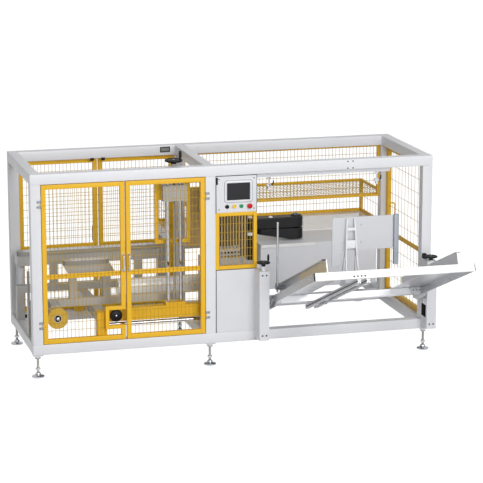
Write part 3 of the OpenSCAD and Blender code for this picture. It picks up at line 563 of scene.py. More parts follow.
def sideways(patch: Patch, way: int, spot: Sequence[float]) -> Patch:
    """Point a patch's third direction along X, or against it, at a spot.

    Args:
        patch: Points and faces.
        way: One for along X, minus one for against it.
        spot: Where the patch's origin goes.

    Returns:
        The turned and moved patch.
    """
    points, faces = along(patch, Axis.X)
    faces = faces if way > 0 else [f[::-1] for f in faces]
    return points * [way, 1, 1] + np.asarray(spot, float), faces


def ball(radius: float, sides: int = 20) -> Patch:
    """Sphere about the origin: a half circle swung round.

    Args:
        radius: Radius of the ball.
        sides: Steps round the axis.

    Returns:
        Points and faces.
    """
    turn = np.linspace(-math.pi / 2, math.pi / 2, 11)
    return revolve(np.stack([radius * np.cos(turn), radius * np.sin(turn)], 1), sides)


def stadium(length: float, width: float, steps: int = 8) -> Array:
    """Outline of a slot: two half circles joined by straight sides, along the first axis.

    Args:
        length: Whole length of the slot.
        width: Its width, which is the half circles' diameter.
        steps: Segments in each half circle.

    Returns:
        Points, anticlockwise about the middle.
    """
    turn = np.linspace(-math.pi / 2, math.pi / 2, steps + 1)
    reach = (length - width) / 2
    right = np.stack([reach + width / 2 * np.cos(turn), width / 2 * np.sin(turn)], 1)
    return np.concatenate([right, -right])


def grooved(width: float, height: float, groove: float, depth: float) -> Array:
    """Outline of a slotted rail: a rectangle with a square groove in the middle of each side.

    Args:
        width: Size along the first axis.
        height: Size along the second axis.
        groove: Width of each groove.
        depth: Depth of each groove.

    Returns:
        Points, anticlockwise.
    """
    w, h, g = width / 2, height / 2, groove / 2
    return np.array([
        [w, -h], [w, -g], [w - depth, -g], [w - depth, g], [w, g], [w, h],
        [g, h], [g, h - depth], [-g, h - depth], [-g, h], [-w, h],
        [-w, g], [-w + depth, g], [-w + depth, -g], [-w, -g], [-w, -h],
        [-g, -h], [-g, -h + depth], [g, -h + depth], [g, -h]])


class Shape:
    """Gathers patches in millimetres and makes one mesh object of them."""

    def __init__(self) -> None:
        """Start with nothing gathered."""
        self._points: list[Array] = []
        self._faces: list[list[int]] = []
        self._count = 0

    def add(self, patch: Patch) -> "Shape":
        """Add a patch.

        Args:
            patch: Points and faces.

        Returns:
            This shape.
        """
        points, faces = patch
        self._faces += [[i + self._count for i in f] for f in faces]
        self._points.append(np.asarray(points, float))
        self._count += len(points)
        return self

    def build(self, name: str, finish: Finish, body: str, stands_for: Sequence[str] = (),
              sharp_deg: float = SHARP_DEG) -> bpy.types.Object:
        """Make the mesh object, dress it and set it on its body.

        Args:
            name: Name of the piece.
            finish: Its surface.
            body: The CAD body that carries it.
            stands_for: CAD nodes that it replaces.
            sharp_deg: Edges sharper than this stay crisp.

        Returns:
            The finished object.
        """
        mesh = bpy.data.meshes.new(name)
        mesh.from_pydata((np.concatenate(self._points) * MM).tolist(), [], self._faces)
        mesh.polygons.foreach_set("use_smooth", np.ones(len(mesh.polygons), bool))
        mesh.set_sharp_from_angle(angle=math.radians(sharp_deg))
        mesh.update()
        piece = bpy.data.objects.new(name, mesh)
        bpy.context.scene.collection.objects.link(piece)
        return dress(piece, finish, body, stands_for)


def dress(piece: bpy.types.Object, finish: Finish, body: str,
          stands_for: Sequence[str] = ()) -> bpy.types.Object:
    """Give a piece its finish, body and the nodes that it stands for.

    Args:
        piece: The object.
        finish: Its surface.
        body: The CAD body that carries it.
        stands_for: CAD nodes that it replaces.

    Returns:
        The same object.
    """
    piece.data.materials.clear()
    piece.data.materials.append(finish.material())
    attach(piece, body)
    if stands_for:
        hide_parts(*stands_for)
    LOG.info("%s rides on %s", piece.name, body)
    return piece


BODY_OF = {node: body for body, nodes in frame["record"]["behaviour"]["bodies"].items()
           for node in nodes}


def front_screws(name: str, finish: Finish, body: str, size: tuple[float, float],
                 spots: Iterable[Sequence[float]]) -> None:
    """Make a piece of screw heads that face the front.

    Args:
        name: Name of the piece.
        finish: Its surface.
        body: The CAD body that carries it.
        size: Diameter and height of a head.
        spots: Where the heads sit.
    """
    Shape().add(copies(outward(screw_head(*size)), spots)).build(name, finish, body)


def merged_mesh(node: str) -> bpy.types.Mesh:
    """Copy a CAD node's mesh and join its split points.

    Args:
        node: The CAD node.

    Returns:
        The copy, with its flat faces whole.
    """
    mesh = frame["nodes"][node].data.copy()
    work = bmesh.new()
    work.from_mesh(mesh)
    bmesh.ops.remove_doubles(work, verts=work.verts, dist=SAME_POINT * MM)
    bmesh.ops.dissolve_limit(work, angle_limit=math.radians(FLAT_DEG), verts=work.verts, edges=work.edges)
    work.to_mesh(mesh)
    work.free()
    return mesh


def solid_boxes(node: str) -> list[tuple[Array, Array]]:
    """Boxes of the separate solids of a CAD node, in millimetres.

    Every point takes the lowest number among the points that edges join it to, again and again,
    until each solid has one number.

    Args:
        node: The CAD node.

    Returns:
        Lowest and highest corner of each solid.
    """
    mesh = merged_mesh(node)
    points = np.empty(len(mesh.vertices) * 3)
    mesh.vertices.foreach_get("co", points)
    points = points.reshape(-1, 3) / MM
    edges = np.empty(len(mesh.edges) * 2, np.int32)
    mesh.edges.foreach_get("vertices", edges)
    first, second = edges.reshape(-1, 2).T
    bpy.data.meshes.remove(mesh)
    label, before = np.arange(len(points)), None
    while before is None or not np.array_equal(label, before):
        before = label.copy()
        np.minimum.at(label, first, before[second])
        np.minimum.at(label, second, before[first])
        label = label[label]
    solids = [points[label == k] for k in np.unique(label)]
    return [(solid.min(0), solid.max(0)) for solid in solids]


def softened(node: str, finish: Finish, width: float = 1.5) -> bpy.types.Object:
    """Copy of a CAD node with its sharp edges broken, which stands for the node.

    Args:
        node: The CAD node.
        finish: Its surface.
        width: Width of the broken edge.

    Returns:
        The finished object.
    """
    mesh = merged_mesh(node)
    mesh.polygons.foreach_set("use_smooth", np.ones(len(mesh.polygons), bool))
    mesh.set_sharp_from_angle(angle=math.radians(SHARP_DEG))
    piece = bpy.data.objects.new(node + "_softened", mesh)
    bpy.context.scene.collection.objects.link(piece)
    edge = piece.modifiers.new("broken_edges", "BEVEL")
    edge.width = width * MM
    edge.segments = 2
    edge.limit_method = "ANGLE"
    edge.angle_limit = math.radians(BROKEN_DEG)
    edge.harden_normals = False
    return dress(piece, finish, BODY_OF[node], [node])


def second_finish(piece: bpy.types.Object, finish: Finish, chosen: Callable[[Array], Array]) -> None:
    """Give some faces of a piece another finish.

    Args:
        piece: The object.
        finish: The other surface.
        chosen: Tells from face centres in millimetres which faces take it.
    """
    mesh = piece.data
    mesh.materials.append(finish.material())
    centres = np.empty(len(mesh.polygons) * 3)
    mesh.polygons.foreach_get("center", centres)
    pick = chosen(centres.reshape(-1, 3) / MM)
    mesh.polygons.foreach_set("material_index", pick.astype(np.int32))
    mesh.update()


@dataclass
class Studio:
    """Camera, floor and lamps."""

    camera_at: tuple[float, float, float] = (-2547.5, -15233.3, 4444.1)
    yaw: float = 0.26655
    pitch: float = -0.21667
    focal: float = 155.49
    sensor: float = 36.0
    far_m: float = 200.0
    floor_half: float = 60000.0
    floor_grey: str = "#C8C8C8"
    floor_glow: float = 0.97
    surround_light: float = 0.12

    def build(self) -> None:
        """Set up the camera, the floor, the lamps and the world."""
        scene = bpy.context.scene
        scene.view_settings.view_transform = "Standard"
        lens = bpy.data.cameras.new("photo_camera")
        lens.lens = self.focal
        lens.sensor_width = self.sensor
        lens.clip_end = self.far_m
        eye = bpy.data.objects.new("photo_camera", lens)
        eye.location = np.array(self.camera_at) * MM
        eye.rotation_euler = (math.pi / 2 + self.pitch, 0, -self.yaw)
        scene.collection.objects.link(eye)
        scene.camera = eye
        self._floor()
        self._world()
        self._lamp("top_softbox", (1600, -800, 7000), (1600, 500, 0), 7.0, 100.0)
        self._lamp("front_softbox", (2600, -9000, 4200), (1600, 300, 700), 6.0, 685.0)
        self._lamp("left_softbox", (-5000, -3500, 3200), (1000, 300, 800), 4.0, 60.0)

    def _floor(self) -> None:
        """Pale floor that shows white to the camera and keeps a soft shadow."""
        half = self.floor_half * MM
        mesh = bpy.data.meshes.new("studio_floor")
        mesh.from_pydata([(-half, -half, 0), (half, -half, 0), (half, half, 0), (-half, half, 0)],
                         [], [(0, 1, 2, 3)])
        floor = bpy.data.objects.new("studio_floor", mesh)
        bpy.context.scene.collection.objects.link(floor)
        coat = bpy.data.materials.new("matt_studio_floor")
        coat.use_nodes = True
        tree = coat.node_tree
        tree.nodes.clear()
        seen = self._seen(tree)
        matt = add_node(tree, "ShaderNodeBsdfDiffuse", {"Color": linear(self.floor_grey)})
        glow = add_node(tree, "ShaderNodeEmission", {"Color": (1, 1, 1, 1), "Strength": self.floor_glow})
        black = add_node(tree, "ShaderNodeEmission", {"Strength": 0.0})
        shown = add_node(tree, "ShaderNodeMixShader", None,
                         {0: seen, 1: black.outputs[0], 2: glow.outputs[0]})
        total = add_node(tree, "ShaderNodeAddShader", None, {0: matt.outputs[0], 1: shown.outputs[0]})
        add_node(tree, "ShaderNodeOutputMaterial", None, {"Surface": total.outputs[0]})
        mesh.materials.append(coat)

    def _seen(self, tree: bpy.types.NodeTree) -> bpy.types.NodeSocket:
        """Tell rays that show the background to the eye, straight, in metal or in glass.

        Args:
            tree: The node tree that takes the test.

        Returns:
            A socket that is one for such rays and zero for others.
        """
        path = add_node(tree, "ShaderNodeLightPath")
        first = add_node(tree, "ShaderNodeMath", {"operation": "MAXIMUM"},
                         {0: path.outputs["Is Camera Ray"], 1: path.outputs["Is Glossy Ray"]})
        both = add_node(tree, "ShaderNodeMath", {"operation": "MAXIMUM"},
                        {0: first.outputs[0], 1: path.outputs["Is Transmission Ray"]})
        return both.outputs[0]

    def _world(self) -> None:
        """White surround: full white to the eye, weaker as light."""
        world = bpy.data.worlds.new("studio_surround")
        bpy.context.scene.world = world
        world.use_nodes = True
        tree = world.node_tree
        tree.nodes.clear()
        light = add_node(tree, "ShaderNodeBackground",
                         {"Color": (1, 1, 1, 1), "Strength": self.surround_light})
        white = add_node(tree, "ShaderNodeBackground", {"Color": (1, 1, 1, 1), "Strength": 1.0})
        mix = add_node(tree, "ShaderNodeMixShader", None,
                       {0: self._seen(tree), 1: light.outputs[0], 2: white.outputs[0]})
        add_node(tree, "ShaderNodeOutputWorld", None, {"Surface": mix.outputs[0]})

    def _lamp(self, name: str, place: Sequence[float], target: Sequence[float], size: float,
              power: float) -> None:
        """Add a square soft lamp that faces a point.

        Args:
            name: Name of the lamp.
            place: Where it hangs.
            target: The point that it faces.
            size: Side length in metres.
            power: Power in watts.
        """
        lamp = bpy.data.lights.new(name, "AREA")
        lamp.size = size
        lamp.energy = power
        holder = bpy.data.objects.new(name, lamp)
        holder.location = np.array(place) * MM
        aim = (np.array(target, float) - np.array(place, float)) * MM
        holder.rotation_euler = Vector(aim).to_track_quat("-Z", "Y").to_euler()
        bpy.context.scene.collection.objects.link(holder)


@dataclass
class TubeFrame:
    """Welded square-tube frame with its rear bay rails."""

    corner: float = 5.0
    weld: float = 1.6

    def build(self) -> None:
        """Round every tube of the frame, one piece for each CAD node."""
        for node, axis in (("top_long_rails", Axis.X), ("bottom_long_rails", Axis.X),
                           ("top_cross_rails", Axis.Y), ("bottom_cross_rails", Axis.Y), ("posts", Axis.Z)):
            self._rails(node, axis)
        self._bay_rails()

    def _tube(self, low: Sequence[float], high: Sequence[float], axis: Axis) -> Patch:
        """Square tube between two corners."""
        return bar(low, high, axis, self.corner, self.weld)

    def _rails(self, node: str, axis: Axis) -> None:
        """Make a node's tubes again with round edges.

        Args:
            node: The CAD node.
            axis: Direction of its tubes.
        """
        shape = Shape()
        for low, high in solid_boxes(node):
            shape.add(self._tube(low, high, axis))
        shape.build(node + "_tube", FRAME_COAT, BODY_OF[node], [node])

    def _bay_rails(self) -> None:
        """Make the bay's tubes, which meet at their edges, from the bay's outer lines."""
        low, high = node_box("bay_rails")
        front = node_box("bay_deck")[0][1]
        back = high[1] - TUBE
        left, right = low[0] + TUBE, high[0] - TUBE
        shape = Shape()
        for z in (low[2], high[2] - TUBE):
            for x in (low[0], right):
                shape.add(self._tube((x, front, z), (x + TUBE, back, z + TUBE), Axis.Y))
            shape.add(self._tube((left, back, z), (right, high[1], z + TUBE), Axis.X))
        shape.add(self._tube((left, low[1], high[2] - TUBE), (right, front, high[2]), Axis.X))
        shape.build("bay_rails_tube", FRAME_COAT, BODY_OF["bay_rails"], ["bay_rails"])


@dataclass
class Guard:
    """Flat mesh guard: a bar frame, an optional middle rail and welded round wire.

    The guard is drawn in its own plane: u runs along it, v up it, and the depth goes from its
    outer face inwards.
    """

    name: str
    nodes: tuple[str, ...]
    u_axis: Axis
    v_axis: Axis
    u: tuple[float, float]
    v: tuple[float, float]
    depth: tuple[float, float]
    bar_w: float = 35.0
    rail: Optional[tuple[float, float]] = None
    pitch_u: float = 30.0
    pitch_v: float = 60.0
    wire_d: float = 3.6
    notch: Optional[tuple[float, float, float, float]] = None
    notch_bar: float = 28.0
    corner: float = 3.0
    end_edge: float = 1.0
    wire_inset: float = 3.0
    open_top: bool = False
    extra: list[Patch] = field(default_factory=list)

    def _point(self, u: Array, v: Array, d: float) -> Array:
        """Put plane coordinates and a depth into the part's frame.

        Args:
            u: Places along the guard.
            v: Places up the guard.
            d: Depth of all of them.

        Returns:
            Points, with their three coordinates in the last direction of the array.
        """
        u, v = np.broadcast_arrays(np.asarray(u, float), np.asarray(v, float))
        out = np.full(u.shape + (3,), float(d))
        out[..., self.u_axis.value] = u
        out[..., self.v_axis.value] = v
        return out

    def _bar(self, u: Sequence[float], v: Sequence[float], d: Sequence[float], axis: Axis) -> Patch:
        """Bar between limits in the guard's plane.

        Args:
            u: Limits along the guard.
            v: Limits up the guard.
            d: Outer and inner face.
            axis: Direction of the bar's length.

        Returns:
            Points and faces.
        """
        a = self._point(min(u), min(v), min(d))
        b = self._point(max(u), max(v), max(d))
        return bar(a, b, axis, self.corner, self.end_edge)

    def build(self) -> None:
        """Make the frame bars as one piece and the wires as another."""
        shape = Shape()
        (u0, u1), (v0, v1), w = self.u, self.v, self.bar_w
        shape.add(self._bar((u0, u0 + w), (v0, v1), self.depth, self.v_axis))
        free_edge = [(v0, v1)]
        if self.notch:
            free_edge = [(v0, self.notch[2]), (self.notch[3], v1)]
        for span in free_edge:
            shape.add(self._bar((u1 - w, u1), span, self.depth, self.v_axis))
        level_bars = [(v0, v0 + w)] if self.open_top else [(v0, v0 + w), (v1 - w, v1)]
        for vs in level_bars:
            shape.add(self._bar((u0 + w, u1 - w), vs, self.depth, self.u_axis))
        front, back = self.depth
        wire_at = front + (back - front) / 2
        r = self.wire_d / 2
        if self.rail:
            behind = (wire_at + 1.5 * np.sign(back - front) * self.wire_d, back)
            shape.add(self._bar((u0 + w, u1 - w), self.rail, behind, self.u_axis))
        top = v1 if self.open_top else v1 - w
        for patch in self.extra:
            shape.add(patch)
        body = BODY_OF[self.nodes[0]]
        shape.build(self.name, GUARD_COAT, body, self.nodes)
        mesh = Shape()
        self._wires(mesh, (u0 + w, u1 - w), (v0 + w, top), wire_at, r)
        # The wires take the guard's coat darkened as painted shade
        mesh.build(self.name + "_wire", WIRE_COAT_SHADED, body)

    def _wires(self, shape: Shape, u: Sequence[float], v: Sequence[float], d: float, r: float) -> None:
        """Add upright wires and, one wire thickness behind them, the level ones.

        Where the guard has a notch, the wires that would cross it end at its bars.

        Args:
            shape: The shape that takes the wires.
            u: Limits of the mesh along the guard.
            v: Limits of the mesh up the guard.
            d: Depth of the upright wires.
            r: Wire radius.
        """
        inset = self.wire_inset
        count_u = max(2, round((u[1] - u[0]) / self.pitch_u))
        count_v = max(2, round((v[1] - v[0]) / self.pitch_v))
        us = u[0] + np.arange(1, count_u) * (u[1] - u[0]) / count_u
        vs = v[0] + np.arange(1, count_v) * (v[1] - v[0]) / count_v
        low, high = self._point(us, v[0] - inset, d), self._point(us, v[1] + inset, d)
        level_d = d + np.sign(self.depth[1] - self.depth[0]) * 2 * r
        left, right = self._point(u[0] - inset, vs, level_d), self._point(u[1] + inset, vs, level_d)
        if not self.notch:
            shape.add(wires(low, high, r))
            shape.add(wires(left, right, r))
            return
        n0, _, m0, m1 = self.notch
        edge = self.notch_bar
        inside = us > n0 - edge
        shape.add(wires(low[~inside], high[~inside], r))
        below = self._point(us[inside], m0 - edge + inset, d)
        above = self._point(us[inside], m1 + edge - inset, d)
        shape.add(wires(low[inside], below, r))
        shape.add(wires(above, high[inside], r))
        crossing = (vs > m0 - edge) & (vs < m1 + edge)
        shape.add(wires(left[~crossing], right[~crossing], r))
        stop = self._point(n0 - edge + inset, vs[crossing], level_d)
        shape.add(wires(left[crossing], stop, r))


def hinge_leaf(pin: Sequence[float], plan: Sequence[Sequence[float]], axis: Axis) -> list[Patch]:
    """Door leaf of a hinge: the middle knuckle and its plate.

    Args:
        pin: Middle of the knuckle.
        plan: Two opposite corners of the plate, seen from above.
        axis: Direction in which the plate reaches away from the knuckle.

    Returns:
        The knuckle and the plate.
    """
    radius, half, edge = 5.0, 10.0, 0.6
    low = (*np.min(plan, 0), pin[2] - half)
    high = (*np.max(plan, 0), pin[2] + half)
    return [along(turned(radius, -half, half, edge, 20), Axis.Z, pin), bar(low, high, axis, 1.0, edge)]


@dataclass
class Guards:
    """All mesh doors and the fixed mesh panels."""

    gap: float = 4.0
    split_gap: float = 5.0
    leaf: tuple[float, float] = (32.0, 4.0)
    pin_out: float = 7.0
    door_bar: float = 35.0
    end_door_y: tuple[float, float] = (44.0, 956.0)
    loop_z: tuple[float, float] = (900.0, 1010.0)
    loop_reach: float = 40.0
    loop_bend: float = 24.0
    loop_r: float = 6.0
    rail_z: tuple[float, float] = (762.0, 800.0)
    notch_w: float = 130.0
    notch_z: tuple[float, float] = (377.0, 499.0)
    notch_bar: float = 28.0
    window_bar: float = 28.0
    window_pitch: tuple[float, float] = (23.0, 66.0)
    window_wire: float = 4.0
    upper_bar: float = 18.0
    cage_bar: float = 22.0
    side_pitch: tuple[float, float] = (75.0, 120.0)

    def build(self) -> None:
        """Make each guard from its CAD node's box."""
        for node in ("front_left_door", "front_right_door", "back_left_door", "back_right_door"):
            self._door(node)
        self._end_door()
        self._window()
        self._cage()

    def _door(self, node: str) -> None:
        """Make a front or back door.

        Args:
            node: The door's CAD node.
        """
        low, high = node_box(node)
        frame_low, frame_high = node_box("top_long_rails")
        front = "front" in node
        left = "left" in node
        gap = self.gap
        u = (DOOR_SPLIT_X + self.split_gap, node_box("control_box")[0][0] - TUBE - gap)
        if left:
            u = (frame_low[0] + TUBE + gap, DOOR_SPLIT_X - self.split_gap)
        face = frame_low[1] if front else frame_high[1]
        depth = (face, face + self.door_bar) if front else (face, face - self.door_bar)
        guard = Guard(node + "_guard", (node,), Axis.X, Axis.Z, u, (low[2], high[2]), depth,
                      self.door_bar, self.rail_z)
        if front and left:
            guard.notch = (u[1] - self.notch_w, u[1], *self.notch_z)
            guard.extra = self._notch_bars(u[1], depth)
        guard.extra += self._leaves(u[0] - gap if left else u[1] + gap, face, front, left)
        guard.build()

    def _leaves(self, post_x: float, face: float, front: bool, left: bool) -> list[Patch]:
        """Door leaves of a door's hinges.

        Args:
            post_x: Where the pins stand along X.
            face: The door's outer face.
            front: The door is on the front.
            left: The pins are on its left.

        Returns:
            A knuckle and a plate for each hinge.
        """
        out = -1 if front else 1
        reach = self.leaf[0] if left else -self.leaf[0]
        plan = [(post_x, face), (post_x + reach, face + out * self.leaf[1])]
        return [patch for z in HINGE_Z
                for patch in hinge_leaf((post_x, face + out * self.pin_out, z), plan, Axis.X)]

    def _notch_bars(self, right: float, depth: Sequence[float]) -> list[Patch]:
        """Bars round the handwheel notch.

        Args:
            right: The door's free edge.
            depth: Outer and inner face of the door.

        Returns:
            The three bars; the door's own edge is open beside them.
        """
        left = right - self.notch_w
        z0, z1 = self.notch_z
        b = self.notch_bar
        y0, y1 = depth
        return [
            bar((left - b, y0, z0 - b), (left, y1, z1 + b), Axis.Z, 2, 1),
            bar((left, y0, z0 - b), (right - self.door_bar, y1, z0), Axis.X, 2, 1),
            bar((left, y0, z1), (right - self.door_bar, y1, z1 + b), Axis.X, 2, 1),
        ]

    def _end_door(self) -> None:
        """Make the door in the magazine end, with its loop handle."""
        low, high = node_box("end_door")
        face = node_box("top_long_rails")[1][0]
        y = self.end_door_y
        guard = Guard("end_door_guard", ("end_door", "end_door_mesh"), Axis.Y, Axis.Z, y,
                      (low[2], high[2]), (face, face - self.door_bar), self.door_bar, self.rail_z,
                      *self.side_pitch)
        loop_y = y[1] - self.door_bar / 2
        foot, grip = face - self.gap, face + self.loop_reach
        z0, z1 = self.loop_z
        path = bent_path([(foot, loop_y, z0), (grip, loop_y, z0), (grip, loop_y, z1), (foot, loop_y, z1)],
                         self.loop_bend)
        guard.extra = [round_bar(path, self.loop_r)]
        post_y = y[0] - self.gap
        plan = [(face, post_y), (face + self.leaf[1], post_y + self.leaf[0])]
        for z in HINGE_Z:
            guard.extra += hinge_leaf((face + self.pin_out, post_y, z), plan, Axis.Y)
        guard.build()

    def _window(self) -> None:
        """Make the fixed guard under the control box."""
        low, high = node_box("guard_window")
        Guard("window_guard", ("guard_window",), Axis.X, Axis.Z, (low[0], high[0]), (low[2], high[2]),
              (low[1], high[1]), self.window_bar, None, *self.window_pitch, self.window_wire).build()

    def _cage(self) -> None:
        """Make the rear bay's three walls, its roof and the fixed guard above it."""
        b = self.cage_bar
        roof_low, roof_high = node_box("cage_roof")
        low = np.array([roof_low[0], roof_low[1], node_box("bay_deck")[1][2]])
        high = np.array([roof_high[0], roof_high[1], roof_high[2] - b])
        walls = ("cage_walls",)
        Guard("bay_back_guard", walls, Axis.X, Axis.Z, (low[0], high[0]), (low[2], high[2]),
              (high[1], high[1] - b), b, open_top=True).build()
        for name, face, inner in (("bay_left_guard", low[0], low[0] + b),
                                  ("bay_right_guard", high[0], high[0] - b)):
            Guard(name, walls, Axis.Y, Axis.Z, (low[1], high[1] - b - 1), (low[2], high[2]),
                  (face, inner), b, None, *self.side_pitch, open_top=True).build()
        Guard("bay_roof_guard", ("cage_roof",), Axis.X, Axis.Y, (roof_low[0], roof_high[0]),
              (roof_low[1], roof_high[1]), (roof_high[2], high[2]), b).build()
        rails_low, rails_high = node_box("top_long_rails")
        left = node_box("control_box")[0][0]
        Guard("upper_back_guard", walls, Axis.X, Axis.Z, (left, rails_high[0] - TUBE),
              (high[2], rails_low[2]), (rails_high[1], rails_high[1] - self.door_bar),
              self.upper_bar).build()


@dataclass
class Handles:
    """Bow handles on the front and back doors: chromed at the front, black moulded at the back."""

    grip_r: float = 6.0
    bend: float = 16.0
    flange_r: float = 9.0

    def build(self) -> None:
        """Make each handle from its CAD box."""
        for node in ("front_left_handle", "front_right_handle", "back_left_handle", "back_right_handle"):
            low, high = node_box(node)
            foot, grip, way = high[1], low[1] + self.grip_r, 1
            if node.startswith("back"):
                foot, grip, way = low[1], high[1] - self.grip_r, -1
            x = (low[0] + high[0]) / 2
            z0, z1 = low[2] + self.grip_r, high[2] - self.grip_r
            path = bent_path([(x, foot, z0), (x, grip, z0), (x, grip, z1), (x, foot, z1)], self.bend)
            shape = Shape().add(round_bar(path, self.grip_r))
            flange = revolve([[self.flange_r, 0], [self.flange_r, 2], [self.flange_r - 2, 4], [6, 4]], 24)
            for z in (z0, z1):
                seat = (x, foot, z)
                shape.add(outward(flange, seat) if way > 0 else along(flange, Axis.Y, seat))
            shape.build(node + "_bow", CHROME if way > 0 else BLACK_PLASTIC_AND_HOLE_SHADE, BODY_OF[node], [node])


@dataclass
class LevellingFeet:
    """Screw feet: pad, threaded stem, two nuts and a welded plate."""

    pad_r: float = 50.0
    stem_r: float = 10.0
    pitch: float = 4.0
    nut_w: float = 40.0
    plate: float = 76.0
    plate_t: float = 10.0

    def _stem(self, low: float, high: float) -> list[tuple[float, float]]:
        """Profile of the thread: one ridge to each pitch.

        Args:
            low: Height of its lower end.
            high: Height of its upper end.

        Returns:
            Radius and height of each point, from the bottom to the top.
        """
        count = int((high - low) / self.pitch)
        z = low + np.arange(2 * count) * self.pitch / 2
        r = self.stem_r - 0.9 * (np.arange(2 * count) % 2)
        return list(zip(r, z))

    def build(self) -> None:
        """Make all feet at the CAD feet's places: pads, threads and nuts with their plates."""
        pads, stems, nuts = Shape(), Shape(), Shape()
        for low, high in solid_boxes("leveling_feet"):
            spot = ((low[0] + high[0]) / 2, (low[1] + high[1]) / 2, 0.0)
            top = high[2]
            r = self.pad_r
            pad = [(r - 2, 0), (r, 2), (r, 10), (r - 3, 13), (0.55 * r, 18),
                   (20, 22), (22, 28), (20, 34), (14, 38)]
            pads.add(along(revolve(pad, 36), Axis.Z, spot))
            stems.add(along(revolve(self._stem(37, top - self.plate_t), 24), Axis.Z, spot))
            n = self.nut_w / 2
            nut = revolve([[n - 3, 0], [n, 1.6], [n, 16.4], [n - 3, 18]], 6)
            collar = turned(n + 4, 0, 4, 1, 28)
            for z in (56.0, top - 28):
                nuts.add(along(nut, Axis.Z, (spot[0], spot[1], z)))
            nuts.add(along(collar, Axis.Z, (spot[0], spot[1], top - 32)))
            half = self.plate / 2
            nuts.add(bar((spot[0] - half, spot[1] - half, top - self.plate_t),
                         (spot[0] + half, spot[1] + half, top), Axis.Z, 5, 1))
        pads.build("levelling_foot_pads", CHROME, "frame", ["leveling_feet"])
        stems.build("levelling_foot_threads", SCREW_STEEL, "frame", (), 20)
        nuts.build("levelling_foot_nuts", STAINLESS, "frame")


@dataclass
class Handwheel:
    """Moulded handwheel: round rim, dished web, hub with a steel centre and a turning grip."""

    name: str
    node: str
    diameter: float
    axis: Axis
    hub_h: float = 34.0
    grip: float = 0.0

    def build(self) -> None:
        """Make the wheel, and its steel centre as a second piece."""
        low, high = node_box(self.node)
        body = BODY_OF[self.node]
        centre = joint_at("child", body)
        k = self.axis.value
        up = -1.0 if self.axis is Axis.Y else 1.0
        centre[k] = low[k] if up > 0 else high[k]
        r = self.diameter / 2
        rim = 0.065 * self.diameter
        turn = np.linspace(-math.pi * 0.92, math.pi * 0.92, 17)
        rim_z = self.hub_h - rim
        hub = 0.15 * self.diameter
        web = 0.03 * self.diameter
        outline = [(hub, 0.0), (hub, rim_z - web - 3), (hub + 4, rim_z - web - 1)]
        outline += [(r - rim + rim * math.cos(a), rim_z + rim * math.sin(a)) for a in turn]
        outline += [(hub + 6, rim_z + web + 2), (hub, rim_z + web + 4), (hub, self.hub_h - 2),
                    (hub - 2, self.hub_h), (0.55 * hub, self.hub_h), (0.5 * hub, self.hub_h - 2),
                    (0, self.hub_h - 2)]
        shape = Shape().add(self._place(revolve(outline, 48), centre, up))
        if self.grip:
            knob = np.array([(0.5, 0), (0.5, 0.2), (0.8, 0.22), (1, 0.4), (1, 0.75), (0.85, 0.93), (0.5, 1)])
            points, faces = revolve(knob * [rim * 1.25, self.grip], 24)
            shape.add(self._place((points + [r - 2 * rim, 0, rim_z], faces), centre, up))
        shape.build(self.name, BLACK_PLASTIC_AND_HOLE_SHADE, body, [self.node], 40)
        centre_cap = revolve([[0.42 * hub, self.hub_h - 2.5], [0.42 * hub, self.hub_h - 0.6],
                              [0.3 * hub, self.hub_h]], 20)
        Shape().add(self._place(centre_cap, centre, up)).build(self.name + "_steel_centre", ZINC, body)

    def _place(self, patch: Patch, centre: Array, up: float) -> Patch:
        """Turn a patch onto the wheel's axis and move it to its seat.

        Args:
            patch: Points and faces, with the wheel's axis as the third direction.
            centre: Where the wheel's underside meets its axis.
            up: One for a wheel that faces along the axis, minus one for against it.

        Returns:
            The turned and moved patch.
        """
        points, faces = along(patch, self.axis)
        if up < 0:
            flip = np.ones(3)
            flip[self.axis.value] = -1
            return points * flip + centre, [f[::-1] for f in faces]
        return points + centre, faces


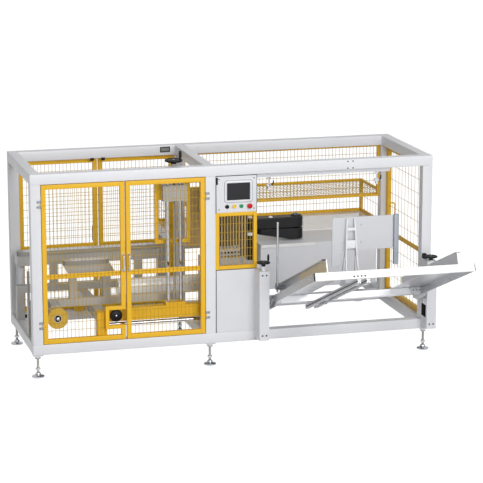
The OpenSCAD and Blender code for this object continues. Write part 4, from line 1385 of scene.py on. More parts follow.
@dataclass
class ControlSection:
    """Control box front, operator screen, push buttons and the cabinet's front sheet."""

    sheet_t: float = 2.0
    reveal: float = 5.0
    screw: tuple[float, float] = (9.0, 3.0)
    screw_inset: float = 26.0
    bezel: float = 17.0
    # Grey ring of painted shade round the bezel: how much wider it is, and how thick
    rim_shade: tuple[float, float] = (9.0, 2.4)
    flush_r: float = 15.5

    def build(self) -> None:
        """Make the fronts, the screen and the buttons."""
        softened("control_box", PANEL_COAT, 2.0)
        softened("lower_cabinet", PANEL_COAT, 2.0)
        for node in ("control_box", "lower_cabinet"):
            low, high = node_box(node)
            e = self.reveal
            sheet = bar((low[0] + e, low[1] - self.sheet_t, low[2] + e),
                        (high[0] - e, low[1], high[2] - e), Axis.Y, 3.0, 0.8)
            Shape().add(sheet).build(node + "_front_sheet", PANEL_COAT, "frame")
        self._screws()
        self._screen()
        self._buttons()

    def _screws(self) -> None:
        """Small screws in the corners of the control box front."""
        low, high = node_box("control_box")
        inset = self.screw_inset
        spots = [(x, low[1] - self.sheet_t, z) for x in (low[0] + inset, high[0] - inset)
                 for z in (low[2] + inset, high[2] - inset)]
        front_screws("control_front_screws", BLACK_PLASTIC_AND_HOLE_SHADE, "frame", self.screw, spots)

    def _screen(self) -> None:
        """Rounded bezel with a sunk display."""
        low, high = node_box("operator_screen")
        w, h = high[0] - low[0], high[2] - low[2]
        d = high[1] - low[1]
        mid = back_middle(low, high)
        rim = self.bezel
        insets = (0, 0, 1.5, 5, rim - 3, rim, rim)
        heights = [share * d for share in (0, 0.5, 0.85, 1, 1, 0.6, 0.5)]
        outlines = [rounded_rectangle(h - 2 * i, w - 2 * i, max(3.0, 20.0 - i), 6) for i in insets]
        Shape().add(outward(prism(outlines, heights), mid)).build(
            "screen_bezel", SCREEN_MOULDING, "frame", ["operator_screen"])
        # A grey ring round the bezel: painted shade at its edge
        wider, thick = self.rim_shade
        rim_shade = rounded_rectangle(h + wider, w + wider, 24.0, 6)
        Shape().add(outward(prism([rim_shade, rim_shade], [0, thick]), mid)).build(
            "screen_rim_shade", DRAWN_STEEL_AND_RIM_SHADE, "frame")
        glass = rounded_rectangle(h - 2 * rim - 1, w - 2 * rim - 1, 4.0, 4)
        Shape().add(outward(prism([glass, glass], [0.3 * d, 0.55 * d]), mid)).build(
            "screen_glass", DISPLAY_GLASS, "frame")

    def _buttons(self) -> None:
        """Selector, two flush buttons and a mushroom button on steel collars."""
        looks = (("selector_switch", BLACK_CAP), ("yellow_button", YELLOW_CAP),
                 ("green_button", GREEN_CAP), ("stop_button", RED_CAP))
        boxes = sorted(solid_boxes("push_buttons"), key=lambda b: b[0][0])
        collars = Shape()
        for (name, finish), (low, high) in zip(looks, boxes):
            mid = back_middle(low, high)
            reach = high[1] - low[1]
            collars.add(outward(revolve([[18, 0], [18, 4], [17, 6], [15.6, 6], [15.6, 3]], 32), mid))
            cap_r = self.flush_r
            crown = [(cap_r, 2)]
            if name == "stop_button":
                cap_r = (high[0] - low[0]) / 2
                crown = [(0.55 * cap_r, 2), (0.55 * cap_r, 0.55 * reach)]
            crown += [(cap_r, 0.6 * reach), (cap_r, 0.82 * reach), (0.85 * cap_r, 0.95 * reach),
                      (0.5 * cap_r, reach), (0, reach)]
            cap = Shape().add(outward(revolve(crown, 32), mid))
            if name == "selector_switch":
                cap.add(bar((mid[0] - 4, mid[1] - reach - 9, mid[2] - 11),
                            (mid[0] + 4, mid[1] - reach + 2, mid[2] + 11), Axis.Z, 3, 1.5))
            cap.build(name, finish, "frame")
        collars.build("button_collars", ZINC, "frame", ["push_buttons"])


@dataclass
class ValvePanel:
    """Valve bank on the cabinet and, behind it, a brown sheet with dark ribs that is painted shade, seen through
    the window.
    """

    fitting_r: float = 6.0
    fittings: int = 6
    fitting_z: tuple[float, float] = (60.0, 92.0)
    sheet_t: float = 10.0
    rib: float = 8.0
    rib_step: float = 24.0
    wing_w: float = 140.0
    wing_t: float = 6.0
    wing_rise: tuple[float, float] = (108.0, 128.0)

    def build(self) -> None:
        """Finish the bank pale and the back sheet in the brown of painted shade, and add hose fittings and dark
        ribs of painted shade.
        """
        low, high = node_box("valve_panel")
        sheet_y = high[1] - self.sheet_t
        bank = softened("valve_panel", BED_ENAMEL, 1.5)
        # The back sheet's faces take the dim brown of painted shade
        second_finish(bank, BROWN_SHEET_SHADE, lambda c: c[:, 1] > sheet_y)
        boxes = solid_boxes("valve_panel")
        bank_low, bank_high = min(boxes, key=lambda b: b[1][0] - b[0][0])
        step = (bank_high[0] - bank_low[0]) / self.fittings
        spots = [(bank_low[0] + (k + 0.5) * step, bank_low[1], bank_low[2] + z)
                 for k in range(self.fittings) for z in self.fitting_z]
        r = self.fitting_r
        plug = revolve([[r + 2, 0], [r + 2, 5], [r, 7], [r, 16], [r - 2, 18]], 16)
        Shape().add(copies(outward(plug), spots)).build("valve_fittings", BLACK_PLASTIC_AND_HOLE_SHADE, "frame")
        # Dark ribs on the sheet: painted shade
        ribs = Shape()
        back = sheet_y + self.rib / 2
        for left in np.arange(low[0] + 12, high[0] - 8, self.rib_step):
            ribs.add(bar((left, back - self.rib, low[2] + 2), (left + self.rib, back, high[2] - 4),
                         Axis.Z, 2, 1))
        ribs.build("painted_shade_ribs", BLACK_ENAMEL_AND_RIB_SHADE, "frame")
        # A wing of the same painted-shade sheet left of the bank
        wing = bar((low[0] - self.wing_w, high[1] - self.wing_t, low[2] + self.wing_rise[0]),
                   (low[0], high[1], high[2] + self.wing_rise[1]), Axis.Z, 2, 1)
        Shape().add(wing).build("painted_shade_wing", BROWN_SHEET_SHADE, "frame")


@dataclass
class FoldingArm:
    """Two-link arm: cast black links, joint covers, pedestal with a pale ring and cover caps."""

    cap_r: float = 17.0
    edge: float = 7.0
    ring_rise: tuple[float, float] = (40.0, 70.0)
    screw_circle: float = 30.0
    cover_step: float = 14.0
    cap_share: float = 0.42
    cap_off: float = 30.0

    def build(self) -> None:
        """Dress the castings and add covers, caps and screws."""
        pedestal = softened("robot_pedestal", BLACK_ENAMEL_AND_RIB_SHADE, 2.0)
        ring = node_box("robot_forearm")[0][2] + np.array(self.ring_rise)
        second_finish(pedestal, WHITE_ENAMEL, lambda c: (c[:, 2] > ring[0]) & (c[:, 2] < ring[1]))
        for link in ("robot_upper_arm", "robot_forearm"):
            softened(link, BLACK_ENAMEL_AND_RIB_SHADE, self.edge).modifiers[0].segments = 3
        self._caps()

    def _caps(self) -> None:
        """Pale caps on the shoulder and the upper link, screws round the elbow cover."""
        body = BODY_OF["robot_upper_arm"]
        cover = node_box("robot_upper_arm")[1][2]
        shoulder, elbow = joint_at("name", "arm_shoulder"), joint_at("name", "arm_elbow")
        top = cover - self.cover_step
        cap = revolve([[self.cap_r, 0], [self.cap_r, 5], [self.cap_r - 4, 10], [0, 12]], 24)
        middle = shoulder + (elbow - shoulder) * self.cap_share
        spots = [(shoulder[0], shoulder[1], top), (middle[0], middle[1] - self.cap_off, top)]
        Shape().add(copies(cap, spots)).build("arm_cover_caps", WHITE_ENAMEL, body)
        circle = self.screw_circle * rings(np.eye(3)[:1], np.eye(3)[1:2], 6)[0]
        spots = circle + [elbow[0], elbow[1], cover]
        Shape().add(copies(screw_head(10, 5), spots)).build("elbow_cover_screws", ZINC, body)


@dataclass
class ArmTable:
    """The bay's deck and the sheet housing that carries the arm: a high part, a low ledge and a lip."""

    ledge_h: float = 150.0
    ledge_w: float = 195.0
    lip: tuple[float, float, float] = (455.0, 12.0, 24.0)

    def build(self) -> None:
        """Make the housing from the CAD node's outer lines, with rolled edges, and dress the deck."""
        softened("bay_deck", WHITE_SHEET, 1.0)
        low, high = node_box("robot_table")
        deck = node_box("bay_deck")[1][2]
        front = low[1] + self.lip[1]
        split = low[0] + self.ledge_w
        shape = Shape()
        shape.add(bar((split, front, low[2]), (high[0], high[1], deck), Axis.X, 4, 1.5))
        shape.add(bar((low[0], front, low[2]), (split, high[1], deck - self.ledge_h), Axis.X, 4, 1.5))
        shape.build("arm_table_housing", PANEL_COAT, "frame", ["robot_table"])
        lip = bar((split, low[1], deck - self.lip[2]), (split + self.lip[0], front, deck), Axis.X, 2, 1)
        Shape().add(lip).build("arm_table_lip", WHITE_ENAMEL, "frame")


@dataclass
class TapingBed:
    """Bed rails, belt units with their side slots, belts, gear motor and transfer cover."""

    slot_l: float = 34.0
    slot_w: float = 10.0
    slot_step: float = 62.0
    slot_inset: float = 70.0
    slot_seat: tuple[float, float] = (10.0, 42.0)
    slot_depth: tuple[float, float] = (-2.0, 0.6)
    cover_w: float = 60.0
    cover_t: float = 5.0
    cover_inset: float = 90.0
    motor_axis: tuple[float, float] = (36.0, 38.0)
    fin_rise: tuple[float, float, float] = (30.0, 150.0, 10.0)

    def build(self) -> None:
        """Dress the bed and add slots, pulley covers and motor fins."""
        for node, finish, edge in (("belt_units", BED_ENAMEL, 2.0), ("drive_belts", BELT_RUBBER, 1.0),
                                   ("transfer_cover", WHITE_SHEET, 2.0), ("bed_posts", GUARD_COAT, 4.0),
                                   ("belt_motor", PANEL_COAT, 3.0), ("bed_cross_tubes", BED_ENAMEL, 3.0),
                                   ("bed_rails", BED_ENAMEL, 3.0)):
            softened(node, finish, edge)
        self._slots()
        self._covers()
        self._motor()

    def _units(self) -> list[tuple[Array, Array]]:
        """Boxes of the two belt units, the short front one first."""
        return sorted(solid_boxes("belt_units"), key=lambda b: b[0][1])

    def _slots(self) -> None:
        """Dark oblong slots along the outer faces of both units: black pieces that are painted shade inside the
        slots.
        """
        shape = Shape()
        outline = stadium(self.slot_l, self.slot_w)[:, ::-1]
        slot = outward(prism([outline, outline], self.slot_depth))
        for low, high in self._units():
            xs = np.arange(low[0] + self.slot_inset, high[0] - self.slot_inset, self.slot_step)
            y, z = low[1:] + self.slot_seat
            shape.add(copies(slot, [(x, y, z) for x in xs]))
        # The slots' black is painted shade
        shape.build("belt_unit_slot_shade", BLACK_PLASTIC_AND_HOLE_SHADE, "frame")

    def _covers(self) -> None:
        """Flat covers with screws on top of the belts' pulleys."""
        covers, screws = Shape(), Shape()
        for low, high in self._units():
            mid = (low + high) / 2
            inset, top = self.cover_inset, high[2] + self.cover_t
            plate = stadium(high[0] - low[0] - inset, self.cover_w)
            cover = prism([plate, plate], [0, self.cover_t])
            covers.add(along(cover, Axis.Z, (mid[0], mid[1], high[2])))
            spots = [(x, mid[1], top) for x in np.linspace(low[0] + inset, high[0] - inset, 5)]
            screws.add(copies(screw_head(12, 5), spots))
        covers.build("belt_unit_covers", ALUMINIUM, "frame")
        screws.build("belt_cover_screws", ZINC, "frame")

    def _motor(self) -> None:
        """Cooling fins round the hanging motor."""
        low = node_box("belt_motor")[0]
        fin = revolve([[30, 0], [35, 0.6], [35, 3.4], [30, 4]], 32)
        first, last, step = self.fin_rise
        x, y = low[:2] + self.motor_axis
        spots = [(x, y, z) for z in np.arange(low[2] + first, low[2] + last, step)]
        Shape().add(copies(fin, spots)).build("belt_motor_fins", PANEL_COAT, "frame")


@dataclass
class TapeHead:
    """Reel of packing tape on its axle, with core, hub and retaining nut."""

    core_r: float = 30.0
    hub_r: float = 27.0
    bore_r: float = 12.6

    def build(self) -> None:
        """Make the wound tape, its core and the hub, which all turn together."""
        softened("tape_bracket", BED_ENAMEL, 1.5)
        low, high = node_box("tape_reel")
        mid = back_middle(low, high)
        r, w = (high[0] - low[0]) / 2, high[1] - low[1]
        body = BODY_OF["tape_reel"]
        turns = [(r - 1, 0), (r, 1), (r, w - 1), (r - 1, w)]
        winds = [(q, w - 0.6 * (k % 2)) for k, q in enumerate(np.linspace(r - 3, self.core_r + 1, 14))]
        ring = [(self.core_r, 0), *turns, *winds, (self.core_r, w)]
        Shape().add(outward(revolve(ring, 64, ring=True), mid)).build(
            "wound_tape", TAPE_FILM, body, ["tape_reel"], 24)
        core = [(self.hub_r, 0.5), (self.core_r, 0.5), (self.core_r, w + 1), (self.hub_r, w + 1)]
        Shape().add(outward(revolve(core, 48, ring=True), mid)).build("tape_core", ALUMINIUM, body)
        hub = [(self.bore_r, 4), (self.hub_r, 4), (self.hub_r, w - 6), (self.hub_r - 4, w - 3),
               (20, w - 3), (18, w + 3), (self.bore_r, w + 3)]
        Shape().add(outward(revolve(hub, 40, ring=True), mid)).build("tape_hub", BLACK_PLASTIC_AND_HOLE_SHADE, body)
        nut = revolve([[11, 0], [12, 1], [12, 7], [9, 9], [0, 10]], 24)
        axle_low = node_box("tape_bracket")[0]
        Shape().add(outward(nut, (mid[0], axle_low[1] + 4, mid[2]))).build("tape_axle_nut", CHROME, "frame")


@dataclass
class Mast:
    """Lift beam, guide rods, screw, head and the carriage with its loop frame."""

    pitch: float = 6.0
    ridge: float = 1.4
    screw_r: float = 12.0
    base_inset: float = 12.0
    carriage_x: tuple[float, ...] = (-70.0, 0.0, 70.0)
    carriage_drop: tuple[float, ...] = (25.0, 100.0)
    loop_behind: float = 5.0
    rod_sides: int = 32

    def build(self) -> None:
        """Make the rods and the threaded screw, dress the rest."""
        for node in ("lift_beam", "mast_base"):
            softened(node, GUARD_COAT, 3.0)
        softened("mast_head", BED_ENAMEL, 2.0)
        carriage = softened("mast_carriage", BED_ENAMEL, 2.0)
        back = node_box("lift_beam")[1][1]
        second_finish(carriage, GUARD_COAT, lambda c: c[:, 1] > back + self.loop_behind)
        self._rods()
        self._bolts()

    def _rods(self) -> None:
        """Chromed rods and shaft as plain bars, the screw with one ridge to each pitch."""
        rods, screw = Shape(), Shape()
        for low, high in solid_boxes("chrome_rods"):
            size = high - low
            k = int(np.argmax(size))
            mid = (low + high) / 2
            mid[k] = low[k]
            r = np.delete(size, k).min() / 2
            if k == Axis.Z.value and r < self.screw_r:
                step = np.arange(2 * int(size[k] / self.pitch))
                thread = np.stack([r - self.ridge * (step % 2), step * self.pitch / 2], 1)
                screw.add(along(revolve(thread, 24), Axis.Z, mid))
            else:
                rods.add(along(turned(r, 0, size[k], 1, self.rod_sides), Axis(k), mid))
        rods.build("guide_rods_ground", CHROME, "frame", ["chrome_rods"])
        screw.build("lift_screw_thread", SCREW_STEEL, "frame", (), 20)

    def _bolts(self) -> None:
        """Bolts on the base plate and the carriage block."""
        low, high = node_box("mast_base")
        inset = self.base_inset
        spots = [(x, y, high[2]) for x in (low[0] + inset, high[0] - inset)
                 for y in (low[1] + inset, high[1] - inset)]
        Shape().add(copies(screw_head(16, 9), spots)).build("mast_base_bolts", ZINC, "frame")
        low, high = node_box("mast_carriage")
        mid = (low[0] + high[0]) / 2
        spots = [(mid + dx, low[1], high[2] - dz) for dx in self.carriage_x for dz in self.carriage_drop]
        front_screws("carriage_bolts", ZINC, BODY_OF["mast_carriage"], (13, 6), spots)


@dataclass(frozen=True)
class TrayPlane:
    """The tray's own frame: X across, -Y out and up the slope, Z square to the tray."""

    tilt_deg: float = 21.5

    def place(self, patch: Patch) -> Patch:
        """Tilt a patch about the pivot beam's middle line and set it on the tray.

        Args:
            patch: Points in the tray's frame, and faces.

        Returns:
            The patch in the part's frame.
        """
        points, faces = patch
        t = math.radians(self.tilt_deg)
        turn = np.array([[1, 0, 0], [0, math.cos(t), math.sin(t)], [0, -math.sin(t), math.cos(t)]])
        return points @ turn.T + self.pivot(), faces

    def pivot(self) -> Array:
        """Middle of the pivot beam, with X left at zero."""
        low, high = node_box("pivot_beam")
        return np.array([0.0, (low[1] + high[1]) / 2, (low[2] + high[2]) / 2])


@dataclass
class Magazine:
    """Tilted blank tray between its columns: plates, rails, guides, rods and the lift columns."""

    x0: float = field(init=False)
    x1: float = field(init=False)
    body: str = field(init=False)
    plane: TrayPlane = TrayPlane()
    tray_l: float = 1215.0
    tray_low: float = 190.0
    bar_t: float = 24.0
    side_h: float = 60.0
    side_t: float = 10.0
    column_top: float = 760.0
    channel: float = 100.0
    strut: tuple[float, float] = (26.0, 34.0)
    groove: tuple[float, float] = (8.0, 6.0)
    clamp: tuple[float, float] = (22.0, 4.0)
    beam_h: float = 56.0
    beam_half: float = 25.0
    end_cap: float = 5.0
    bar_screws: tuple[float, ...] = (-77.0, -49.0, -21.0, 7.0)
    bar_screw_z: float = -12.0
    side_bolts: tuple[float, ...] = (-52.0, 52.0, -700.0, -1080.0, 140.0)
    clamp_y: tuple[float, ...] = (-1121.0, -330.0, -60.0)
    guide_y: tuple[float, float] = (-1175.0, 120.0)
    guide_base: float = 31.0
    guide_x: tuple[float, float] = (76.0, 110.0)
    guide_h: tuple[float, float] = (92.0, 101.0)
    lining_share: float = 0.55
    rod_at: tuple[float, float, float] = (45.0, -20.0, 124.0)
    channel_reach: float = 220.0
    wall: float = 6.0
    bracket_t: float = 10.0
    bolt_inset: float = 24.0
    link: tuple[float, float, float] = (4.0, 15.0, 38.0)

    def build(self) -> None:
        """Make each part of the tray, then the columns' fittings."""
        low, high = node_box("tray_front_bar")
        self.x0, self.x1 = low[0], high[0]
        self.body = BODY_OF["tray_front_bar"]
        for node, finish, edge in (("pivot_beam", STAINLESS, 3.0), ("tray_side_plates", STAINLESS, 1.2),
                                   ("tray_floor_plates", STAINLESS, 0.8), ("tray_rods", CHROME, 1.0)):
            softened(node, finish, edge)
        self._front_bar()
        self._struts()
        self._guides()
        self._side_fittings()
        self._columns()

    def _tray(self, patch: Patch) -> Patch:
        """Set a patch on the tray."""
        return self.plane.place(patch)

    def _front_bar(self) -> None:
        """White front bar with black end caps and four screws in a row."""
        half = self.side_h / 2
        cap = self.end_cap
        y = (-self.tray_l, -self.tray_l + self.bar_t)
        white = bar((self.x0 + cap, y[0], -half), (self.x1 - cap, y[1], half), Axis.X, 3, 1)
        Shape().add(self._tray(white)).build(
            "front_bar_enamelled", WHITE_ENAMEL, self.body, ["tray_front_bar"])
        ends = Shape()
        for x in (self.x0, self.x1 - cap):
            ends.add(self._tray(bar((x, y[0] + 1, -half + 1), (x + cap, y[1] - 1, half - 1), Axis.X, 3, 1)))
        ends.build("front_bar_end_caps", BLACK_PLASTIC_AND_HOLE_SHADE, self.body)
        middle = sum(self._strut_middles()) / 2
        spots = [(middle + dx, y[0], self.bar_screw_z) for dx in self.bar_screws]
        heads = copies(outward(screw_head(12, 5)), spots)
        Shape().add(self._tray(heads)).build("front_bar_screws", BLACK_PLASTIC_AND_HOLE_SHADE, self.body)

    def _strut_middles(self) -> list[float]:
        """Middle lines of the two rails under the pusher."""
        low, high = node_box("tray_struts")
        return [low[0] + self.strut[0] / 2, high[0] - self.strut[0] / 2]

    def _struts(self) -> None:
        """Slotted aluminium rails, a grooved profile carried along the slope, with clamps and painted shade in the
        grooves.

        A black strip of painted shade lies in the lower groove of each rail and one in its left groove.
        Each has its half sizes across and up, and how far its middle lies from the rail's.
        """
        w, h = self.strut
        length = self.tray_l - self.bar_t + self.tray_low
        outline = grooved(h, w, *self.groove)
        start, z = -self.tray_l + self.bar_t, -self.beam_h / 2 - h / 2
        reach, grip = self.clamp
        rails, clamps, groove_shade = Shape(), Shape(), Shape()
        for x in self._strut_middles():
            rails.add(self._tray(along(prism([outline, outline], [0, length]), Axis.Y, (x, start, z))))
            # A black strip of painted shade in the lower and the left groove
            for half_x, half_z, dx, dz in ((3.9, 2.2, 0, 3.7 - h / 2), (2.2, 3.9, 3.7 - w / 2, 0)):
                low = (x + dx - half_x, start + 2, z + dz - half_z)
                high = (x + dx + half_x, start + length - 2, z + dz + half_z)
                groove_shade.add(self._tray(bar(low, high, Axis.Y, 1.0, 0.5)))
            for y in self.clamp_y:
                low = (x - w / 2 - grip, y - reach, z - h / 2 - grip)
                high = (x + w / 2 + grip, y + reach, z - h / 2)
                clamps.add(self._tray(bar(low, high, Axis.X, 2, 1)))
        rails.build("pusher_rails_slotted", ALUMINIUM, self.body, ["tray_struts"])
        clamps.build("pusher_rail_clamps", ZINC, self.body)
        groove_shade.build("pusher_rail_groove_shade", BLACK_PAINTED_SHADE, self.body)

    def _guides(self) -> None:
        """Channel guides with a black cap and a buff lining on the left one."""
        softened("tray_guides", ALUMINIUM, 1.0)
        base = self.guide_base
        y0, y1 = self.guide_y
        x0, x1 = np.add(self.x0, self.guide_x)
        z0, z1 = np.add(base, self.guide_h)
        cap = bar((x0, y0 - 4, z0), (x1, y0, z1), Axis.X, 2, 1)
        Shape().add(self._tray(cap)).build("guide_end_caps", BLACK_PLASTIC_AND_HOLE_SHADE, self.body)
        inner_end = y0 + self.lining_share * (y1 - y0)
        lining = bar((x1 - 2, y0 + 4, base + 2), (x1, inner_end, z0 + 1), Axis.Y, 0.8, 0.4)
        Shape().add(self._tray(lining)).build("guide_lining", BUFF_LINING, self.body)

    def _side_fittings(self) -> None:
        """Bolts on the side plates, the pivot's lugs, and the guide rod's clamp and ball."""
        bolts = Shape()
        for x, way in ((self.x0, -1), (self.x1, 1)):
            for y in self.side_bolts:
                bolts.add(self._tray(sideways(screw_head(16, 8), way, (x, y, 0))))
        bolts.build("side_plate_bolts", ZINC, self.body)
        self._lugs()
        x, y, z = self.plane.pivot() + self.rod_at + [self.x0, 0, 0]
        rod_top = node_box("tray_rods")[1][2]
        knob = revolve([[12, 0], [15, 2], [15, 20], [12, 22]], 20)
        Shape().add(along(knob, Axis.Z, (x, y, z))).build("guide_rod_clamp", ZINC, self.body)
        Shape().add(along(ball(9), Axis.Z, (x, y, rod_top - 4))).build("guide_rod_ball", CHROME, self.body)

    def _lugs(self) -> None:
        """Round pivot lugs outside the side plates with bolted straps, and plates on the beam's ends."""
        lugs, nuts = Shape(), Shape()
        outline = rounded_rectangle(76, 44, 20, 8)
        strap = prism([outline, outline], [0, 6])
        boss = revolve([[34, 0], [34, 9], [31, 12], [18, 12], [16, 6], [12.5, 6], [12.5, 0]], 40, ring=True)
        pair = copies(revolve([[9, 6], [9, 13], [6, 15]], 6), [(0, 26, 0), (0, -26, 0)])
        for x, way in ((self.x0, -1), (self.x1, 1)):
            for patch, shape in ((boss, lugs), (strap, lugs), (pair, nuts)):
                shape.add(self._tray(sideways(patch, way, (x, 0, 0))))
        plate, plate_t, plate_x = stadium(84, 50), 14, self.x0 + 46
        front = -self.beam_half - plate_t
        lugs.add(self._tray(along(prism([plate, plate], [0, plate_t]), Axis.Y, (plate_x, front, -2))))
        for z in (-20, 16):
            nuts.add(self._tray(outward(screw_head(18, 8), (plate_x, front, z))))
        self._beam_bracket(lugs)
        lugs.build("pivot_lugs", BLASTED_SHEET, self.body)
        nuts.build("pivot_lug_nuts", ZINC, self.body)

    def _beam_bracket(self, lugs: Shape) -> None:
        """Add the many-sided plate at the beam's right end, and black discs of painted shade at its bores.

        Args:
            lugs: The shape that takes the plate.
        """
        end = self.x1 - self.side_t
        front = -self.beam_half - self.bracket_t
        corners = np.array([(2, -94), (26, -94), (26, -2), (-16, -2), (-34, -50), (-34, -66)]) + [0.0, end]
        lugs.add(self._tray(along(prism([corners] * 2, [0, self.bracket_t]), Axis.Y, (0, front, 0))))
        # Black discs at the bores: painted shade
        bores = copies(outward(disc(5, 0.8, 16)), [(end - dx, front, 4) for dx in (70, 45, 14)])
        Shape().add(self._tray(bores)).build("beam_bracket_bore_shade", BLACK_PLASTIC_AND_HOLE_SHADE, self.body)

    def _columns(self) -> None:
        """Lift columns with black painted shade in their channels, front bolts, and the right slide block's link
        plate.
        """
        columns = softened("magazine_columns", FRAME_COAT, 3.0)
        pivot = self.plane.pivot()
        boxes = solid_boxes("magazine_columns")

        def in_channel(c: Array) -> Array:
            """Tell which faces lie inside a channel.

            Args:
                c: Face centres.

            Returns:
                True for each face inside.
            """
            inner = np.zeros(len(c), bool)
            for low, high in boxes:
                inner |= (c[:, 0] > low[0] + self.wall) & (c[:, 0] < high[0] - self.wall)
            across = np.abs(c[:, 1] - pivot[1]) < self.channel / 2 + 1
            return inner & across & (np.abs(c[:, 2] - pivot[2]) < self.channel_reach)

        # The channels' inner faces take black painted shade
        second_finish(columns, BLACK_PAINTED_SHADE, in_channel)
        bolts = Shape()
        for low, high in boxes:
            spots = [(x, low[1], z) for x in (low[0] + self.bolt_inset, high[0] - self.bolt_inset)
                     for z in (self.column_top - 30, low[2] + 40)]
            bolts.add(copies(outward(screw_head(13, 4)), spots))
        bolts.build("column_bolts", BLACK_PLASTIC_AND_HOLE_SHADE, "frame")
        low, high = max(boxes, key=lambda b: b[0][0])
        counter = bar((low[0] + 2, high[1] - 45, self.column_top),
                      (low[0] + 30, high[1] - 8, self.column_top + 40), Axis.Y, 4, 2)
        Shape().add(counter).build("position_counter", BLACK_PLASTIC_AND_HOLE_SHADE, "frame")
        y, z = pivot[1] + 12, pivot[2] - 66
        link_t, half_y, half_z = self.link
        x = low[0] - link_t
        link = bar((x, y - half_y, z - half_z), (x + link_t, y + half_y, z + half_z), Axis.X, 8, 1)
        Shape().add(link).build("slide_link_plate", WHITE_ENAMEL, self.body)
        # Black discs at the link's bores: painted shade
        holes = Shape()
        for dz in (-20, 20):
            holes.add(sideways(disc(7, 1.2, 20), -1, (x, y, z + dz)))
        holes.build("slide_link_bore_shade", BLACK_PLASTIC_AND_HOLE_SHADE, self.body)


@dataclass
class Pusher:
    """Pusher plate with rounded corners on its tapered white arm."""

    corner: float = 14.0
    plate_t: float = 8.0
    leg_w: float = 66.0
    leg_h: float = 122.0
    bar_w: float = 38.0
    plate_h: float = 250.0
    along_tray: float = -879.0
    arm_h: float = 502.0
    arm_half: tuple[float, float] = (57.0, 33.0)
    cheek_t: float = 8.0
    cross_plates: tuple[tuple[float, float], ...] = ((282.0, 344.0), (416.0, 438.0))
    cross_y: tuple[float, float] = (-32.0, -24.0)
    arm_shift: float = -12.0
    plate_screws: tuple[tuple[float, float], ...] = ((-75.0, 75.0), (60.0, 190.0))
    seat_z: float = -28.0

    def build(self) -> None:
        """Make the plate with its leg and bar, dress the arm and add bolts."""
        low, high = node_box("pusher_plate")
        body = BODY_OF["pusher_plate"]
        front = high[1] - self.plate_t
        foot = low[2] + self.leg_h
        right = high[0] - self.bar_w
        top, leg = foot + self.plate_h, low[0] + self.leg_w
        corners = [(foot, right), (top, right), (top, low[0]), (low[2], low[0]), (low[2], leg), (foot, leg)]
        outline = self._rounded(corners)
        sheet = along(prism([outline, outline], [0, self.plate_t]), Axis.Y, (0, front, 0))
        Shape().add(sheet).build("pusher_plate_rounded", BLASTED_SHEET, body, ["pusher_plate"])
        post = bar((right, low[1], low[2]), high, Axis.Z, 4, 1.5)
        Shape().add(post).build("pusher_end_bar", DRAWN_STEEL_AND_RIM_SHADE, body)
        arm_low, arm_high = node_box("pusher_arm")
        mid = (arm_low[0] + arm_high[0]) / 2
        self._arm(mid + self.arm_shift, body)
        across, up = self.plate_screws
        spots = [(mid + dx, front, foot + z) for dx in across for z in up]
        front_screws("pusher_plate_screws", ZINC, body, (12, 5), spots)
        knob = along(ball(7), Axis.Z, ((right + high[0]) / 2, (low[1] + high[1]) / 2, high[2] - 3))
        Shape().add(knob).build("pusher_bar_knob", CHROME, body)

    def _half_width(self, z: Array) -> Array:
        """Half of the arm's width, which shrinks evenly from the shoe to the top."""
        return np.interp(z, [0.0, self.arm_h], self.arm_half)

    def _arm(self, mid: float, body: str) -> None:
        """White arm: a shoe, two cheeks on two legs each that lean inwards, and cross plates.

        A cheek's outline in (y, z) is carried across its thickness, and every point is then moved
        sideways by the arm's half width at its height.

        Args:
            mid: Middle of the arm along X.
            body: The CAD body that carries it.
        """
        plane = TrayPlane()
        spot = np.array([0.0, self.along_tray, self.seat_z])
        seat = plane.place((spot[None], []))[0][0]
        t, top = self.cheek_t, self.arm_h
        outlines = [
            [(-80, 57), (40, 8), (36, 40), (-74, 85)],
            [(-74, 85), (-50, 75), (-32, 222), (-48, 222)],
            [(14, 50), (36, 40), (20, 130), (0, 222), (-14, 222)],
            [(-48, 222), (0, 222), (0, top), (-22, top)],
        ]
        shape = Shape()
        for side in (-1, 1):
            for outline in outlines:
                points, faces = along(prism([np.array(outline, float)] * 2, [-t / 2, t / 2]), Axis.X)
                points[:, 0] += side * (self._half_width(points[:, 2]) - t / 2)
                shape.add((points + [mid, seat[1], seat[2]], faces))
        for low, high in self.cross_plates:
            half = float(self._half_width(np.array((low + high) / 2))) - t + 1
            shape.add(bar((mid - half, seat[1] + self.cross_y[0], seat[2] + low),
                          (mid + half, seat[1] + self.cross_y[1], seat[2] + high), Axis.X, 2, 1))
        half = self.arm_half[0]
        shoe = bar((mid - half, -90, 0.4), (mid + half, 60, 26), Axis.Y, 3, 1)
        shape.add(plane.place(along(shoe, Axis.Z, spot)))
        shape.build("pusher_arm_fabricated", PANEL_COAT, body, ["pusher_arm"])
        bolts = [(mid + x, self.along_tray + y, -2.0) for x in (-36, -12, 12, 36) for y in (-70, -40)]
        heads = plane.place(copies(screw_head(12, 8), bolts))
        Shape().add(heads).build("pusher_shoe_bolts", BLACK_PLASTIC_AND_HOLE_SHADE, body)

    def _rounded(self, corners: Sequence[Sequence[float]]) -> Array:
        """Closed outline whose corners are rounded by quadratic curves.

        Args:
            corners: Corner points in order, as (z, x).

        Returns:
            Points along the outline, in the same order.
        """
        ends = [corners[-1], *corners, corners[0]]
        return bent_path(ends, self.corner)[1:-1]


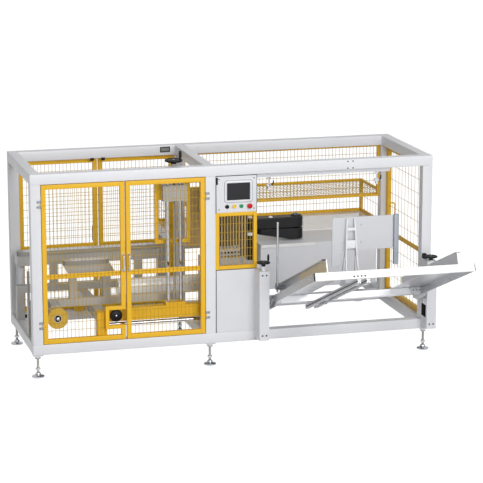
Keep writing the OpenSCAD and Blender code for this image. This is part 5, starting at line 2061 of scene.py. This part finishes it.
@dataclass
class SensorRail:
    """Perforated rail under the front top rail, with clamps and ball-ended sensor rods."""

    hole_step: float = 24.0
    hole_r: float = 5.0
    sensor_inset: float = 110.0
    ball_r: float = 13.0
    lever_out: float = 34.0

    def build(self) -> None:
        """Dress the rail and add painted shade at its holes, then its clamps and balls."""
        softened("sensor_rail", FRAME_COAT, 1.0)
        low, high = node_box("sensor_rail")
        top = high[2]
        spots = [(x, high[1] - 14, top - 20) for x in np.arange(low[0] + 20, high[0] - 10, self.hole_step)]
        # Black discs at the holes: painted shade
        holes = copies(outward(disc(self.hole_r, 0.5, 12)), spots)
        Shape().add(holes).build("sensor_rail_hole_shade", BLACK_PLASTIC_AND_HOLE_SHADE, "frame")
        clamps, balls = Shape(), Shape()
        for side in (low[0] + self.sensor_inset, high[0] - self.sensor_inset):
            y = high[1] - 8
            clamps.add(bar((side - 14, y - 12, top - 58), (side + 14, y + 8, top - 40), Axis.Z, 2, 1))
            clamps.add(bar((side - 18, y - 14, low[2] + 24), (side + 18, y + 10, low[2] + 44), Axis.Z, 2, 1))
            balls.add(along(ball(self.ball_r), Axis.Z, (side, y, low[2] + self.ball_r)))
            end = side + self.lever_out
            lever = bent_path([(side, y, low[2] + 34), (end, y - 10, low[2] + 42),
                               (end, y - 10, low[2] + 70)], 12)
            balls.add(round_bar(lever, 5))
        clamps.build("sensor_clamps", ZINC, "frame")
        balls.build("sensor_ball_ends", BLACK_PLASTIC_AND_HOLE_SHADE, "frame")


@dataclass
class FrameTrim:
    """Hinge screws, rail screws, black painted shade in the cabinet's gaps and small fittings on the frame."""

    leaf_t: float = 4.0
    rail_screw_x: tuple[float, float] = (2459.0, 2501.0)
    rail_screw_rise: tuple[float, float] = (12.0, 66.0)
    # Width of the black strips of painted shade in the cabinet's gaps
    gap_strip: float = 5.0
    switch_x: tuple[float, float] = (-54.0, 35.0)
    gland_x: float = 71.0
    plate_x: tuple[float, float] = (1192.0, 1275.0)
    plate_rise: tuple[float, float] = (25.0, 70.0)
    plate_rim: float = 8.0

    def build(self) -> None:
        """Make each small fitting at its place on the frame."""
        softened("door_hinges", DRAWN_STEEL_AND_RIM_SHADE, 0.6)
        self._hinge_screws()
        self._rail_screws()
        self._cabinet_fittings()
        self._back_fittings()

    def _hinge_screws(self) -> None:
        """Two screws in each hinge leaf on the front posts."""
        face = node_box("top_long_rails")[0][1] - self.leaf_t
        left = node_box("front_left_door")[0][0]
        mid = node_box("control_box")[0][0] - TUBE
        spots = [(x, face, z + dz) for x in (left - 18, mid + 20) for z in HINGE_Z for dz in (-18, 18)]
        front_screws("hinge_screws", BLACK_PLASTIC_AND_HOLE_SHADE, "frame", (6, 2), spots)

    def _rail_screws(self) -> None:
        """Four screws in the front top rail over the magazine."""
        low = node_box("top_long_rails")[0]
        spots = [(x, low[1], low[2] + rise) for x in self.rail_screw_x for rise in self.rail_screw_rise]
        front_screws("top_rail_screws", BLACK_PLASTIC_AND_HOLE_SHADE, "frame", (11, 3), spots)

    def _cabinet_fittings(self) -> None:
        """Lock at the control front's upper left corner and black strips of painted shade in the cabinet's gaps,
        along the top and sides.
        """
        low, high = node_box("control_box")
        lock = bar((low[0] + 4, low[1] - 9, high[2] - 66),
                   (low[0] + 16, low[1] - 1, high[2] - 12), Axis.Z, 2, 1)
        Shape().add(lock).build("control_front_lock", BLACK_PLASTIC_AND_HOLE_SHADE, "frame")
        # Painted shade: black strips in the shadow gaps at the sides and top of each front
        gap_shade_strips = Shape()
        gap_strip = self.gap_strip
        for node in ("control_box", "lower_cabinet"):
            low, high = node_box(node)
            front, back = low[1] - 0.8, low[1] + 0.2
            for x in (low[0], high[0] - gap_strip):
                gap_shade_strips.add(bar((x, front, low[2]), (x + gap_strip, back, high[2]), Axis.Z, 0.4, 0.2))
            gap_shade_strips.add(bar((low[0] + gap_strip, front, high[2] - gap_strip), (high[0] - gap_strip, back, high[2]),
                          Axis.X, 0.4, 0.2))
        gap_shade_strips.build("cabinet_gap_shade", BLACK_PAINTED_SHADE, "frame")

    def _back_fittings(self) -> None:
        """Door switches over the back doors, a bare framed plate and a gland on the back rails."""
        low, high = node_box("top_long_rails")
        inner = high[1] - TUBE
        black = Shape()
        for x in np.add(DOOR_SPLIT_X, self.switch_x):
            black.add(bar((x - 14, inner - 14, low[2] - 16), (x + 14, inner, low[2] + 6), Axis.X, 3, 1))
        gland = revolve([[14, 0], [14, 6], [10, 8], [10, 18], [6, 22]], 20)
        black.add(outward(gland, (self.gland_x, inner, node_box("bottom_long_rails")[0][2] + 58)))
        (x0, x1), (z0, z1) = self.plate_x, np.add(low[2], self.plate_rise)
        rim = self.plate_rim
        black.add(bar((x0, inner - 2, z0), (x1, inner, z1), Axis.Y, 3, 0.6))
        black.build("back_rail_fittings", BLACK_PLASTIC_AND_HOLE_SHADE, "frame")
        face = bar((x0 + rim, inner - 3, z0 + rim), (x1 - rim, inner - 2, z1 - rim), Axis.Y, 2, 0.4)
        Shape().add(face).build("bare_rail_plate", SCREW_STEEL, "frame")


def main() -> None:
    """Build the studio and every sub-assembly in order."""
    logging.basicConfig(level=logging.WARNING)
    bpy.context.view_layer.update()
    wheels = (Handwheel("mast_wheel_moulded", "mast_handwheel", 140.0, Axis.Z, grip=72.0),
              Handwheel("left_wheel_moulded", "left_column_wheel", 104.0, Axis.Z, grip=64.0),
              Handwheel("right_wheel_moulded", "right_column_wheel", 104.0, Axis.Z),
              Handwheel("beam_wheel_moulded", "beam_handwheel", 97.0, Axis.Y))
    for part in (Studio(), TubeFrame(), Guards(), Handles(), LevellingFeet(), *wheels, ControlSection(),
                 ValvePanel(), FoldingArm(), ArmTable(), TapingBed(), TapeHead(), Mast(), Magazine(),
                 Pusher(), SensorRail(), FrameTrim()):
        part.build()


if __name__ == "__main__":
    main()
